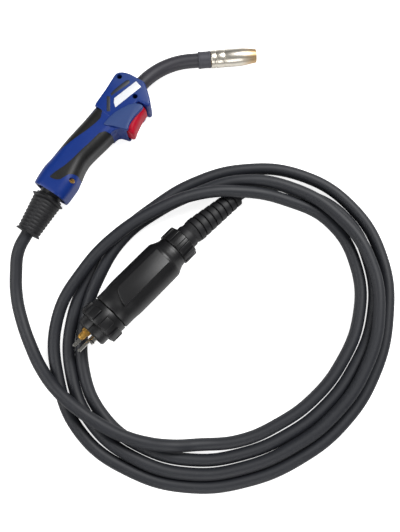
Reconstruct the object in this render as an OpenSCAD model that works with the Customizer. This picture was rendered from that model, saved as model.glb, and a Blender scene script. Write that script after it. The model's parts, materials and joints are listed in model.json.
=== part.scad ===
// Gas-shielded welding torch lying on a bench: pistol handle with trigger and swan neck,
// a loosely coiled cable and the multi-pole connector at its far end.
// +Z is up, the bench is z = 0, and the origin is under the middle of the handle and neck.

/* [Handle] */
// Length of the grip, from the butt face to the head
grip_l = 92; // [84:1:110]
// Length of the head, from the end of the grip to its front face
head_l = 69; // [69:1:74]
// Height of the butt, from back to underside
butt_h = 38; // [37.6:0.2:42]
// Half of the handle's width at its widest
side_half = 19; // [18.6:0.1:21]
// Width of the hollow inside the handle
hollow_w = 23; // [20:0.5:25]
// Thickness of the rubber grip pads at the sides
pad_t = 3.2; // [2.5:0.1:3.6]

/* [Trigger] */
// Width of the trigger
trigger_w = 26; // [20:0.5:27]
// Gap between the trigger and each side of its slot
trigger_gap = 0.5; // [0.3:0.1:0.8]
// Diameter of the trigger's pivot pin
pivot_d = 3; // [2:0.2:4]

/* [Swan neck and nozzle] */
// Outside diameter of the insulated neck
neck_d = 16; // [13:0.5:16]
// Radius of the neck's bend, on its axis
neck_r = 80; // [70:1:100]
// Angle of the neck's bend
neck_bend = 44; // [20:1:60]
// Outside diameter of the gas nozzle
nozzle_d = 19.4; // [18.8:0.2:22]
// Outside diameter of the gas nozzle at its mouth
nozzle_tip_d = 15.2; // [14:0.2:17]
// Length of the gas nozzle
nozzle_l = 51; // [48:1:60]
// Diameter of the welding wire's hole in the contact tip
wire_bore_d = 1.2; // [0.9:0.1:1.8]

/* [Cable] */
// Outside diameter of the cable
cable_d = 13; // [12:0.2:13.2]
// Height of the cable's centre where it lies on the bench
lay = 7; // [6.7:0.1:8]

/* [Connector] */
// Outside diameter of the connector's housing
housing_d = 44.8; // [43:0.2:47]
// Wall thickness of the connector's housing
housing_wall = 2.7; // [2:0.1:3.5]
// Outside diameter of the connection nut, without its lobes
nut_d = 42.6; // [42.2:0.2:46]
// Diameter of the insulating nose
nose_d = 34.6; // [33:0.2:35]
// Outside diameter of the gland nut at the back
gland_nut_d = 38.4; // [37.6:0.2:42]
// Diameter of the power pin's shank
power_pin_d = 10; // [8:0.2:11]
// Diameter of each sprung contact pin
contact_pin_d = 4; // [3:0.2:4.6]

/* [Hidden] */
$fn = 64;
touch = 0.02;          // overlap of two bodies that are joined into one solid
fit = 0.05;            // radial clearance of a fitted shaft
big = 200;             // size of a cutting block

// Where the handle lies: middle of its butt face, direction of the grip, height of its mid plane
butt_x = -104.7;
butt_y = -78.7;
handle_turn = 58;
torch_z = side_half;
butt_r = butt_h / 2;
hollow_z = hollow_w / 2;
pad_core_z = 17 - pad_t;
head_x = grip_l;
nose_x = grip_l + head_l;

// Cross sections of the handle, butt to nose: place, top, bottom, half width
SECTIONS = [
    [0, butt_r, -butt_r, side_half - 0.4],
    [18, butt_r + 1.1, -butt_r - 1.3, side_half],
    [grip_l - 42, butt_r - 2, -butt_r + 3, side_half - 1.8],
    [grip_l - 8, 12.9, -22.6, side_half - 2.2],
    [grip_l + 12, 11.2, -26.8, side_half - 2.2],
    [grip_l + 22, 14.4, -28.4, side_half - 2.2],
    [nose_x - 10, 14, -25, side_half - 2.4],
    [nose_x - 3, 4, -12, side_half - 5]
];

// Ball joint in the butt
ball_x = 13;
ball_r = 16;
ball_gap = 0.25;
sleeve_r = 12.2;
sleeve_collar_r = 14.5;
mouth_r = 17;
lip_x = 5;
lip_r = 14.3;

// Trigger, switch and spring, in the handle's frame
trigger_x = head_x + 35;
trigger_y = -25;
trigger_top = -23.4;
slot_z = trigger_w / 2 + trigger_gap;
pin_r = pivot_d / 2;
pin_half = 15.5;
inside_z = max(hollow_z, slot_z);
switch_x = head_x + 8.5;
switch_l = 12.8;
switch_h = 6;
switch_y = -20.9;
switch_half = 2.9;
plunger_x = head_x + 14;
plunger_r = 1.1;
spring_x = head_x + 26;
spring_top = -18.2;
spring_bottom = -25.1;
// Handle screws: place along the grip, place across it, height of the head's seat
SCREWS = [
    [22, -16.2, side_half - 7.5], [nose_x - 13.4, 5.4, side_half - 11],
    [nose_x - 23.6, -21.6, side_half - 11]
];
screw_head_r = 2.6;

// Swan neck: where it leaves the handle's frame, and its lengths before and after the bend
neck_x = head_x + 12;
neck_y = -5.4;
neck_tilt = -9;
neck_in = 56.5;
neck_out = 9.5;
neck_jr = neck_d / 2;
tube_r = 5;
tube_wall = 1.5;
liner_r = 2.4;
fitting_r = 8;
fitting_back = -18;
fitting_front = 16;
core_r = 4;
collar_l = 14.7;
collar_r = 9.4;
nozzle_r = nozzle_d / 2;
nozzle_bore_r = 8;
diffuser_r = nozzle_bore_r - 0.1;
holder_r = 5.6;
tip_r = 4;
tip_l = 27;

// Cable and its boots
cable_r = cable_d / 2;
boot_bore_r = cable_r + 0.35;
boot_front = -8;
boot_back = -49.5;
boot_lean = 3.1;
boot_r0 = 18;
boot_r1 = 13.6;
ribs = 9;

// Connector: direction, tilt and place of the nut's front face; distances run towards the cable
plug_turn = 46.6;
plug_tilt = 5.5;
plug_x = -45.5;
plug_y = -220.5;
shoulder_u = 97;
housing_r = housing_d / 2;
plug_z = housing_r * cos(plug_tilt) + shoulder_u * sin(plug_tilt) + 0.05;
nut_r = nut_d / 2;
nut_front = -4.6;
nut_l = 15.5;
nut_thread_r = 19.4;
flange_u = 11;
nose_r = nose_d / 2;
nose_u = -14;
insulator_back = 21;
shell_front = 16.2;
shell_back = 108;
inner_r = housing_r - housing_wall;
front_r = housing_r - 1;
spigot_r = 15.6;
spigot_back = 119;
gland_r = gland_nut_d / 2;
gland_back = 125.5;
gland_bore_r = 13.6;
root_r = 13.2;
knuckle_u = 133;
plug_boot_l = 70;
plug_boot_r0 = 13.2;
plug_boot_r1 = 9.8;
boot_turn = -5.6;
boot_dip = 1.7;
POWER_AT = [3, 5];
GAS_AT = [-8, 4];
CONTACTS_AT = [[3.5, -4.5], [-3.6, -6]];
power_r = power_pin_d / 2;
gas_r = 2.6;
contact_r = contact_pin_d / 2;
contact_tip_u = -35;
contact_end_u = 6;
contact_travel = 3;
spring_seat_u = 16;
housing_screws_u = [40, 86];
housing_screw_w = 16.2;

// Coil of the cable: its centre, and one station every 20 degrees
coil_x = 76;
coil_y = -213;
step = 20;
// From the butt to the coil, along the left and over the strands that lie there
LEAD = [
    [-137, -141, 17.5], [-140, -164, 12.5], [-139, -190, 8.5], [-133, -214, 7.5], [-122, -241, 9],
    [-107, -267, 15], [-89, -288, 21.5], [-69, -305, 23], [-45, -321, 22], [-21, -333, 21],
    [3, -340, 20], [28, -343, 18]
];
// Distance from the coil's centre and height, station by station, starting where each turn starts
TURN_1 = [
    [132, lay + 2], [128, lay], [126, lay], [130, lay], [138, lay], [150, lay], [160, lay],
    [162, lay], [148, lay + 9.5], [137, lay + 19], [132, lay + 24], [130, lay + 26],
    [136, lay + 25], [150, lay + 15.5], [170, lay + 4]
];
TURN_2 = [
    [179, lay], [185, lay], [180, lay], [174, lay], [168, lay], [166, lay], [169, lay],
    [174, lay], [181, lay], [190, lay], [192, lay], [184, lay], [168, lay], [152, lay],
    [141, lay], [140, lay], [144.5, lay], [156, lay]
];
TURN_3 = [
    [165, lay], [171, lay + 1], [166.5, lay + 4], [161, lay + 4], [154.5, lay + 4.5],
    [152, lay + 6], [155, lay + 8.5], [161, lay + 11], [168, lay + 13.5], [173, lay + 13.5],
    [170, lay + 13.5], [162, lay + 13.5], [151, lay + 13.5], [137, lay + 10.5],
    [131, lay + 12.5], [132, lay + 12], [133.5, lay + 9.2], [141.5, lay + 1]
];
TURN_4 = [
    [151, lay], [156.5, lay], [153.5, lay], [147.5, lay], [141.5, lay], [140, lay], [144, lay],
    [152, lay], [165, lay], [175, lay], [178, lay], [165, lay]
];
// From the coil to the connector's boot
TAIL = [[143, -65, lay], [128, -64.5, lay], [113, -69, lay + 0.2]];

// ---- Frames ----

module at_handle() {
    translate([butt_x, butt_y, torch_z]) rotate([0, 0, handle_turn]) children();
}

module at_neck() {
    at_handle() translate([neck_x, neck_y, 0]) rotate([0, 0, neck_tilt]) children();
}

// Frame of the swivel's sleeve and rear boot, which lean a little in the ball joint
module at_boot() {
    at_handle() translate([ball_x, 0, 0]) rotate([0, 0, boot_lean]) translate([-ball_x, 0, 0])
        children();
}

// Frame at the front of the bend, x along the nozzle
module at_nozzle() {
    at_neck() translate([neck_in, -neck_r, 0]) rotate([0, 0, -neck_bend])
        translate([neck_out, neck_r, 0]) children();
}

module at_plug() {
    translate([plug_x, plug_y, plug_z]) rotate([0, plug_tilt, plug_turn]) children();
}

module at_plug_boot() {
    at_plug() translate([knuckle_u, 0, 0]) rotate([0, boot_dip, boot_turn]) children();
}

// ---- Shapes ----

// Turns a solid of revolution so that its axis runs along +X
module along_x() {
    rotate([0, 90, 0]) children();
}

module rod(from, to, r) {
    translate([from, 0, 0]) along_x() cylinder(h = to - from, r = r);
}

module pipe(from, to, r, bore) {
    difference() {
        rod(from, to, r);
        rod(from - 1, to + 1, bore);
    }
}

module cone(from, to, r_from, r_to) {
    translate([from, 0, 0]) along_x() cylinder(h = to - from, r1 = r_from, r2 = r_to);
}

// Solid of revolution about X from [radius, place] points
module turned(points) {
    along_x() rotate_extrude() polygon(points);
}

module box(from, to) {
    translate(from) cube(to - from);
}

// A straight rod between two points
module strut(a, b, r) {
    d = b - a;
    len = norm(d);
    translate(a) rotate([0, acos(d[2] / len), atan2(d[1], d[0])]) cylinder(h = len, r = r);
}

module plate(points, z0, z1) {
    translate([0, 0, z0]) linear_extrude(z1 - z0) polygon(points);
}

// A pipe that follows the swan neck from one place before the bend to one after it
module neck_pipe(from, to, r, bore) {
    translate([from, 0, 0]) rotate([90, 0, 90]) linear_extrude(neck_in - from)
        pipe_section(r, bore);
    translate([neck_in, -neck_r, 0]) rotate([0, 0, 90 - neck_bend])
        rotate_extrude(angle = neck_bend) translate([neck_r, 0]) pipe_section(r, bore);
    translate([neck_in, -neck_r, 0]) rotate([0, 0, -neck_bend]) translate([0, neck_r, 0])
        rotate([90, 0, 90]) linear_extrude(to) pipe_section(r, bore);
}

module pipe_section(r, bore) {
    difference() {
        polygon([for (a = [0:12:348]) r * [cos(a), sin(a)]]);
        polygon([for (a = [0:12:348]) bore * [cos(a), sin(a)]]);
    }
}

// Closed tube swept through points: rings of side points joined by quads
function unit(v) = v / norm(v);
function heading(p, k) =
    unit(p[min(k + 1, len(p) - 1)] - p[max(k - 1, 0)]);
function ring(c, d, r, sides) =
    let (s = unit(cross(d, [0, 0, 1])), t = cross(s, d))
    [for (k = [0:sides - 1]) c + r * (cos(360 * k / sides) * s + sin(360 * k / sides) * t)];

module swept(path, r, sides) {
    n = len(path);
    points = [for (k = [0:n - 1]) each ring(path[k], heading(path, k), r, sides)];
    walls = [for (k = [0:n - 2], j = [0:sides - 1])
        let (a = k * sides + j, b = k * sides + (j + 1) % sides)
        [a, b, b + sides, a + sides]];
    ends = [[for (j = [sides - 1:-1:0]) j], [for (j = [0:sides - 1]) (n - 1) * sides + j]];
    polyhedron(points, concat(ends, walls), convexity = 10);
}

// Compression spring along +X
module coil_spring(from, to, r, wire_r, turns) {
    per_turn = 12;
    n = turns * per_turn;
    pitch = (to - from - 2 * wire_r) / n;
    path = [for (k = [0:n])
        [from + wire_r + k * pitch, r * cos(360 * k / per_turn), r * sin(360 * k / per_turn)]];
    spring_sweep(path, wire_r, 6);
}

module spring_sweep(path, r, sides) {
    n = len(path);
    points = [for (k = [0:n - 1])
        let (d = heading(path, k), o = unit([0, path[k][1], path[k][2]]), t = cross(o, d))
        each [for (j = [0:sides - 1])
            path[k] + r * (cos(360 * j / sides) * o + sin(360 * j / sides) * t)]];
    walls = [for (k = [0:n - 2], j = [0:sides - 1])
        let (a = k * sides + j, b = k * sides + (j + 1) % sides)
        [a, b, b + sides, a + sides]];
    ends = [[for (j = [sides - 1:-1:0]) j], [for (j = [0:sides - 1]) (n - 1) * sides + j]];
    polyhedron(points, concat(ends, walls), convexity = 6);
}

// Ribbed strain relief: grooves cut at an even pitch into a cone that narrows from r0 to r1
function ribbed(x0, x1, r0, r1, n, depth) =
    let (pitch = (x1 - x0) / n)
    [for (k = [0:n - 1]) let (a = x0 + k * pitch, r = r0 + (r1 - r0) * k / n) each [
        [r, a], [r, a + 0.66 * pitch], [r - depth, a + 0.72 * pitch], [r - depth, a + 0.94 * pitch]
    ]];

// ---- Handle ----

function bend_sign(v) = v < 0 ? -1 : 1;
function swell(v) = bend_sign(v) * pow(abs(v), 0.62);

// Cross section of the handle at one station, a rounded box
module section(s) {
    mid = (s[1] + s[2]) / 2;
    half = (s[1] - s[2]) / 2;
    points = [for (k = [0:23]) [mid + half * swell(cos(15 * k)), s[3] * swell(sin(15 * k))]];
    translate([s[0], 0, 0]) rotate([90, 0, 90]) linear_extrude(0.2) polygon(points);
}

module handle_body() {
    for (k = [0:len(SECTIONS) - 2]) hull() {
        section(SECTIONS[k]);
        section(SECTIONS[k + 1]);
    }
}

// Side outlines, in the handle's frame
hook_outline = [
    [head_x + 42.6, -26], [head_x + 60, -12], [head_x + 64.8, -20.8], [head_x + 58.6, -28.7],
    [head_x + 49.6, -38], [head_x + 46, -40.4], [head_x + 44, -39.8], [head_x + 43.2, -38]
];
guard_outline = [
    [head_x - 8, -18], [head_x - 8, -21.6], [head_x - 0.9, -23.6], [head_x + 2.6, -26],
    [head_x + 5.6, -31.4], [head_x + 8.8, -39], [head_x + 10.6, -39], [head_x + 10, -30],
    [head_x + 12, -20]
];
panel_outline = [
    [head_x, -10.8], [head_x + 19.9, -14.5], [head_x + 30, -18], [head_x + 38, -22],
    [head_x + 43, -24.5], [head_x + 41.8, -38.4], [head_x + 39.8, -40], [head_x + 37.7, -37.6],
    [head_x + 33.6, -35.2], [head_x + 26.7, -33.9], [head_x + 19.6, -33.6], [head_x + 14.2, -34],
    [head_x + 10.6, -35.5], [head_x + 9.2, -36], [head_x + 7.6, -34.4], [head_x + 6, -27.2],
    [head_x + 3.5, -19.7]
];
label_outline = [
    [nose_x - 8.6, -11.6], [nose_x - 11, -19.4], [nose_x - 45, -10.4], [nose_x - 39.4, -3.4]
];
stripe_outline = [
    [nose_x - 11.5, -4], [nose_x - 39, 3.4], [nose_x - 56, -3.6], [nose_x - 54.6, -6.2],
    [nose_x - 39, 0], [nose_x - 12.4, -7.4]
];
hollow_outline = [
    [22, 10], [22, -9.6], [50, -10], [grip_l - 8, -15.5], [head_x + 6, -17],
    [head_x + 42, -18], [head_x + 52, -14], [head_x + 52, -2], [head_x + 46, 7],
    [head_x + 12, 5.9], [grip_l - 8, 6.3], [50, 9.5]
];
front_pad_outline = [
    [head_x - 2, -45], [head_x - 2, -26], [head_x - 9.6, -14], [53, -10], [31, -2.8], [14, 5.5],
    [13, 1], [22, -5], [28.4, -10], [31, -18.3], [28.6, -45]
];
back_pad_outline = [[head_x + 14, 30], [head_x + 13, 9.4], [44, 14.2], [44, 30]];
pad_core_outline = [
    [8, 16], [8, -17], [grip_l - 42, -12.8], [grip_l - 8, -19.4], [head_x + 4, -21.6],
    [head_x + 20, -20], [head_x + 20, 8], [grip_l - 8, 9.7], [50, 13.8]
];

// Zone of the rubber pads: everything outside the core, within the side outlines
module pad_zone() {
    difference() {
        union() {
            plate(front_pad_outline, -big / 2, big / 2);
            plate(back_pad_outline, -big / 2, big / 2);
        }
        plate(pad_core_outline, -pad_core_z, pad_core_z);
        translate([ball_x, 0, 0]) sphere(ball_r + ball_gap + 1);
    }
}

// Keeps the half of the handle on one side of its mid plane: 1 right, -1 left
module half_of(side) {
    intersection() {
        children();
        translate([-big / 2, -big / 2, side > 0 ? 0 : -big]) cube([2 * big, big, big]);
    }
}

module handle_shell(side) {
    difference() {
        half_of(side) difference() {
            union() {
                handle_body();
                plate(hook_outline, -16, 16);
                plate(guard_outline, -16, 16);
                plate(panel_outline, 1 - side_half, side_half - 1);
            }
            pad_zone();
            plate(hollow_outline, -hollow_z, hollow_z);
            box([head_x + 7.9, -46, -slot_z], [head_x + 42, -14, slot_z]);
        }
        translate([ball_x, 0, 0]) sphere(ball_r + ball_gap);
        rod(ball_x + 6, 26, 13);
        cone(-0.5, lip_x, mouth_r + 0.27, lip_r);
        translate([neck_x, neck_y, 0]) rotate([0, 0, neck_tilt]) rod(20, big, neck_jr + fit);
        translate([trigger_x, trigger_y, -pin_half - fit])
            cylinder(h = 2 * (pin_half + fit), r = pin_r + fit / 2);
        for (s = SCREWS) translate([s[0], s[1], 0]) screw_space(s[2]);
        plate(label_outline, side > 0 ? side_half - 3.2 : -big, side > 0 ? big : 3.2 - side_half);
        plate(stripe_outline, side > 0 ? side_half - 3.2 : -big, side > 0 ? big : 3.2 - side_half);
    }
    half_of(side) handle_seats();
}

// Ribs inside the shells that hold the switch, the spring and the neck fitting
module handle_seats() {
    for (z = [-inside_z - 1, switch_half + 0.1])
        box([switch_x - 1, switch_y, z], [switch_x + switch_l + 1, switch_y + switch_h, z + inside_z
            + 0.9 - switch_half]);
    box([spring_x - 3.4, spring_top, -inside_z - 1], [spring_x + 3.4, spring_top + 1.6, inside_z + 1]);
    for (x = [-14, 11.6]) neck_rib(x);
}

module neck_rib(x) {
    difference() {
        translate([neck_x, neck_y, 0]) rotate([0, 0, neck_tilt])
            box([x, -fitting_r - 1.4, -hollow_z - 1], [x + 3, fitting_r + 3.4, hollow_z + 1]);
        translate([neck_x, neck_y, 0]) rotate([0, 0, neck_tilt])
            rod(fitting_back - 1, fitting_front + 1, fitting_r + fit);
    }
}

// Space for a screw: clearance hole and the pocket for its head
module screw_space(seat) {
    translate([0, 0, -side_half + 4]) cylinder(h = 2 * side_half - 4, r = 1.6);
    translate([0, 0, seat]) cylinder(h = big, r = screw_head_r + 0.3);
}

module handle_shell_right() {
    color("royalblue") at_handle() handle_shell(1);
}

module handle_shell_left() {
    color("royalblue") at_handle() handle_shell(-1);
}

module grip_pad(side) {
    half_of(side) intersection() {
        handle_body();
        pad_zone();
    }
}

module grip_pad_right() {
    color("dimgray") at_handle() grip_pad(1);
}

module grip_pad_left() {
    color("dimgray") at_handle() grip_pad(-1);
}

module side_inlays(outline) {
    for (side = [-1, 1]) plate(outline, side > 0 ? side_half - 3.2 : 2.2 - side_half,
        side > 0 ? side_half - 2.2 : 3.2 - side_half);
}

module label_plates() {
    color("white") at_handle() side_inlays(label_outline);
}

module head_stripes() {
    color("darkslategray") at_handle() side_inlays(stripe_outline);
}

module screw(head_z) {
    translate([0, 0, -side_half + 5]) cylinder(h = head_z + side_half - 4.5, r = 1.5);
    difference() {
        translate([0, 0, head_z]) cylinder(h = 2.4, r = screw_head_r);
        translate([0, 0, head_z + 1]) cylinder(h = 3, r = 1.2, $fn = 6);
    }
}

module handle_screws() {
    color("goldenrod") at_handle() for (s = SCREWS) translate([s[0], s[1], 0]) screw(s[2]);
}

// ---- Trigger and switch ----

trigger_outline = [
    [head_x + 41.4, -30.2], [head_x + 41.2, -36.4], [head_x + 38.6, -37], [head_x + 27, -38],
    [head_x + 18.5, -39.6], [head_x + 12.5, -42.3], [head_x + 10.4, -42.8],
    [head_x + 9.3, -40.8], [head_x + 10, -36], [head_x + 10.2, trigger_top - 1],
    [head_x + 11.4, trigger_top], [head_x + 18, trigger_top], [head_x + 20, -24.5],
    [head_x + 36, -24.5]
];

// Cross section of the trigger: wide between the shells and rounded where the finger lies
module trigger_section() {
    half = trigger_w / 2;
    polygon([
        [-20, half], [-34, half], [-38, half - 1.6], [-41, half - 4.4], [-44, half - 9],
        [-44, 9 - half], [-41, 4.4 - half], [-38, 1.6 - half], [-34, -half], [-20, -half]
    ]);
}

module trigger() {
    color("crimson") at_handle() difference() {
        union() {
            intersection() {
                plate(trigger_outline, -trigger_w / 2, trigger_w / 2);
                translate([head_x, 0, 0]) rotate([90, 0, 90]) linear_extrude(60) trigger_section();
            }
            translate([trigger_x, trigger_y, -trigger_w / 2]) cylinder(h = trigger_w, r = pin_r + 1.9);
        }
        translate([trigger_x, trigger_y, -big / 2]) cylinder(h = big, r = pin_r + fit);
        translate([spring_x, spring_bottom - 0.9, 0]) rotate([-90, 0, 0]) cylinder(h = 10, r = 3.3);
    }
}

module trigger_pin() {
    color("silver") at_handle() translate([trigger_x, trigger_y, -pin_half])
        cylinder(h = 2 * pin_half, r = pin_r);
}

module trigger_spring() {
    color("silver") at_handle() translate([spring_x, 0, 0]) rotate([0, 0, 90])
        coil_spring(spring_bottom, spring_top - 0.05, 2.3, 0.35, 5);
}

module switch_body() {
    color("black") at_handle() difference() {
        box([switch_x, switch_y, -switch_half],
            [switch_x + switch_l, switch_y + switch_h, switch_half]);
        translate([plunger_x, switch_y - 1, 0]) rotate([-90, 0, 0])
            cylinder(h = switch_h - 0.2, r = plunger_r + fit);
    }
}

module switch_plunger() {
    color("firebrick") at_handle() translate([plunger_x, trigger_top + 0.3, 0])
        rotate([-90, 0, 0]) cylinder(h = 4.6, r = plunger_r);
}

module control_leads() {
    color("gold") at_handle() for (z = [-1.6, 1.6])
        strut([switch_x - 0.4, switch_y + 4.7, z], [27, -5.2, z * 1.4], 0.8);
}

// Copper core of the cable, with a crimped ferrule on the fitting's side
module power_core() {
    back = fitting_back - 6;
    color("orange") at_handle() strut([27, 0, 0],
        [neck_x + back * cos(neck_tilt), neck_y + back * sin(neck_tilt), 0], core_r);
    color("orange") at_neck() rod(back - 2, fitting_back, core_r + 1);
}

// ---- Swan neck and nozzle ----

module neck_fitting() {
    color("peru") at_neck() difference() {
        union() {
            rod(fitting_back, fitting_front, fitting_r - 1.2);
            rod(fitting_back + 2, fitting_back + 9, fitting_r);
            rod(fitting_front - 12, fitting_front, fitting_r);
        }
        rod(-6, fitting_front + 1, tube_r + fit);
        rod(fitting_back - 1, -5, liner_r + 0.2);
    }
}

module neck_jacket() {
    color("dimgray") at_neck() neck_pipe(fitting_front, neck_out, neck_jr, tube_r + fit);
}

module neck_tube() {
    color("peru") at_neck() neck_pipe(-5.9, neck_out + collar_l - 4, tube_r, tube_r - tube_wall);
}

module wire_liner() {
    color("gainsboro") at_neck()
        neck_pipe(fitting_back + 3, neck_out + collar_l - 1, liner_r, liner_r - 0.9);
}

module neck_collar() {
    color("gray") at_nozzle() difference() {
        turned([
            [0, 0], [collar_r - 0.6, 0], [collar_r, 0.6],
            [collar_r, collar_l - 0.4], [0, collar_l - 0.4]
        ]);
        rod(-1, collar_l - 6, tube_r + fit);
        rod(collar_l - 6.2, collar_l + 1, holder_r + 0.9 + fit);
    }
}

module tip_holder() {
    color("peru") at_nozzle() difference() {
        union() {
            rod(collar_l - 4, collar_l + 0.6, holder_r + 0.9);
            rod(collar_l, collar_l + 22, holder_r);
        }
        rod(collar_l - 5, collar_l + 12, liner_r + 0.2);
        rod(collar_l + 11.9, collar_l + 23, tip_r - 1 + fit);
        for (a = [0:60:300]) translate([collar_l + 9, 0, 0]) rotate([a, 0, 0]) cylinder(h = 9, r = 0.9);
    }
}

module gas_diffuser() {
    color("ivory") at_nozzle() difference() {
        pipe(collar_l + 1, collar_l + 16, diffuser_r, holder_r + fit);
        for (a = [15, 75, 135]) translate([collar_l + 12, 0, 0]) rotate([a, 0, 0])
            translate([0, 0, -9]) cylinder(h = 18, r = 1.1);
    }
}

module contact_tip() {
    color("chocolate") at_nozzle() difference() {
        union() {
            rod(collar_l + 13, collar_l + 22.1, tip_r - 1);
            rod(collar_l + 22.1, collar_l + 15 + tip_l - 4, tip_r);
            cone(collar_l + 15 + tip_l - 4.01, collar_l + 15 + tip_l, tip_r, tip_r - 1.6);
        }
        rod(collar_l, collar_l + big, wire_bore_d / 2);
    }
}

module gas_nozzle() {
    taper = nozzle_l - 15;
    color("silver") at_nozzle() translate([collar_l, 0, 0]) difference() {
        turned([
            [0, 0], [nozzle_r - 0.5, 0], [nozzle_r, 0.5], [nozzle_r, 4.9], [nozzle_r - 0.5, 5.1],
            [nozzle_r - 0.5, 6], [nozzle_r, 6.2], [nozzle_r, 14.6], [nozzle_r - 0.5, 14.8],
            [nozzle_r - 0.5, 15.7], [nozzle_r, 15.9], [nozzle_r, taper],
            [nozzle_tip_d / 2, nozzle_l - 0.6], [nozzle_tip_d / 2 - 0.5, nozzle_l], [0, nozzle_l]
        ]);
        rod(-1, taper - 2, nozzle_bore_r);
        cone(taper - 2.02, nozzle_l - 4, nozzle_bore_r, nozzle_tip_d / 2 - 1.2);
        rod(nozzle_l - 4.02, nozzle_l + 1, nozzle_tip_d / 2 - 1.2);
    }
}

// Split spring ring that holds the nozzle on its seat
module nozzle_clip() {
    color("silver") at_nozzle() difference() {
        pipe(collar_l + 16.2, collar_l + 18, nozzle_bore_r - 0.2, holder_r + fit);
        box([collar_l + 15, 0, -1.5], [collar_l + 19, 12, 1.5]);
    }
}

// ---- Cable ----

module ball_sleeve() {
    color("black") at_boot() difference() {
        union() {
            intersection() {
                translate([ball_x, 0, 0]) sphere(ball_r);
                rod(4, ball_x + 9, ball_r);
            }
            rod(-5, ball_x, sleeve_r);
            rod(boot_front, boot_front + 4, sleeve_collar_r);
        }
        rod(boot_front - 1, 30, boot_bore_r);
    }
}

module rear_boot() {
    outline = ribbed(4.2, boot_front - boot_back, boot_r0, boot_r1, ribs, 1.3);
    color("black") at_boot() translate([boot_front, 0, 0]) mirror([1, 0, 0]) difference() {
        turned(concat([[0, 0], [boot_r0 - 0.8, 0], [boot_r0, 0.8]], outline,
            [[boot_r1 - 1.3, boot_front - boot_back], [0, boot_front - boot_back]]));
        rod(-1, 60, boot_bore_r);
    }
}

// Points of the cable, from the ball joint to the clamp in the connector
function sleeve_point(x) = [
    butt_x + ball_x * cos(handle_turn) + (x - ball_x) * cos(handle_turn + boot_lean),
    butt_y + ball_x * sin(handle_turn) + (x - ball_x) * sin(handle_turn + boot_lean),
    torch_z
];
function plug_point(u) = [
    plug_x + u * cos(plug_turn) * cos(plug_tilt),
    plug_y + u * sin(plug_turn) * cos(plug_tilt),
    plug_z - u * sin(plug_tilt)
];
function boot_dir() = [
    cos(plug_turn + boot_turn) * cos(plug_tilt + boot_dip),
    sin(plug_turn + boot_turn) * cos(plug_tilt + boot_dip),
    -sin(plug_tilt + boot_dip)
];
function boot_point(x) = plug_point(knuckle_u) + x * boot_dir();
function stations(turn, first) = [
    for (k = [0:len(turn) - 1]) let (a = first + step * k) [
        coil_x + turn[k][0] * cos(a), coil_y + turn[k][0] * sin(a), turn[k][1]
    ]
];
cable_route = concat(
    [sleeve_point(ball_x + 8), sleeve_point(-20), sleeve_point(boot_back)],
    LEAD,
    stations(TURN_1, 260),
    stations(TURN_2, 200),
    stations(TURN_3, 200),
    stations(TURN_4, 200),
    TAIL,
    [boot_point(plug_boot_l + 2), boot_point(plug_boot_l / 2), plug_point(knuckle_u), plug_point(101)]
);

module torch_cable() {
    color("darkslategray") swept(cable_route, cable_r, 12);
}

// ---- Connector ----

module connector_boot() {
    outline = ribbed(9, plug_boot_l, plug_boot_r0, plug_boot_r1, 7, 1.8);
    color("black") difference() {
        union() {
            at_plug() rod(spigot_back + 0.4, knuckle_u, root_r);
            at_plug() rod(spigot_back + 0.4, spigot_back + 2, spigot_r - 0.3);
            at_plug_boot() turned(concat([[0, -3], [root_r - 1, -3], [root_r - 1, 3.5],
                [plug_boot_r0, 6], [plug_boot_r0, 9]], outline,
                [[plug_boot_r1 - 1, plug_boot_l], [0, plug_boot_l]]));
        }
        at_plug() rod(spigot_back, knuckle_u - 2, boot_bore_r + 1.2);
        at_plug_boot() rod(-6, 100, boot_bore_r + 0.3);
    }
}

module cable_clamp() {
    color("ivory") at_plug() difference() {
        pipe(100, spigot_back - 0.2, 9.5, cable_r + fit);
        for (a = [0:90:270]) rotate([a, 0, 0]) box([108, -0.7, 0], [spigot_back + 1, 0.7, 12]);
    }
}

module gland_nut() {
    color("black") at_plug() difference() {
        union() {
            rod(shell_back + 0.4, gland_back, gland_r - 0.9);
            for (a = [0:30:330]) rotate([a, 0, 0])
                box([shell_back + 0.8, -2.6, gland_r - 3], [gland_back - 1, 2.6, gland_r]);
        }
        rod(shell_back, spigot_back + 2.3, spigot_r + fit);
        rod(spigot_back, gland_back + 1, gland_bore_r);
    }
}

module housing_body() {
    difference() {
        union() {
            turned([
                [0, shell_front], [front_r - 0.8, shell_front], [front_r, shell_front + 0.8],
                [front_r, 26], [housing_r, 38], [housing_r, shoulder_u - 2],
                [17.6, shoulder_u + 7], [17.6, shell_back],
                [spigot_r, shell_back], [spigot_r, spigot_back], [0, spigot_back]
            ]);
            box([34, -9.6, 10], [93, 9.6, housing_r + 1.4]);
        }
        rod(shell_front - 1, 22, nose_r + fit);
        rod(21.9, shoulder_u - 3, inner_r);
        rod(shoulder_u - 4, spigot_back + 1, 9.5 + fit);
        at_housing_screws() translate([0, 0, -big / 2]) cylinder(h = big / 2 + 9, r = 1.1);
        at_housing_screws() translate([0, 0, -big / 2]) cylinder(h = big / 2 - 6, r = 2.2);
    }
    at_housing_screws() difference() {
        translate([0, 0, -7]) cylinder(h = 16, r = 2.9);
        translate([0, 0, -10]) cylinder(h = 20, r = 1.1);
        translate([0, 0, -10]) cylinder(h = 4, r = 2.2);
    }
}

// The four places of the housing's screws, which go in from below
module at_housing_screws() {
    for (x = housing_screws_u) for (y = [-1, 1]) translate([x, y * housing_screw_w, 0]) children();
}

module housing_half(side) {
    intersection() {
        housing_body();
        translate([0, -big / 2, side > 0 ? 0 : -big]) cube([big, big, big]);
    }
}

module housing_upper() {
    color("black") at_plug() housing_half(1);
}

module housing_lower() {
    color("black") at_plug() housing_half(-1);
}

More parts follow.
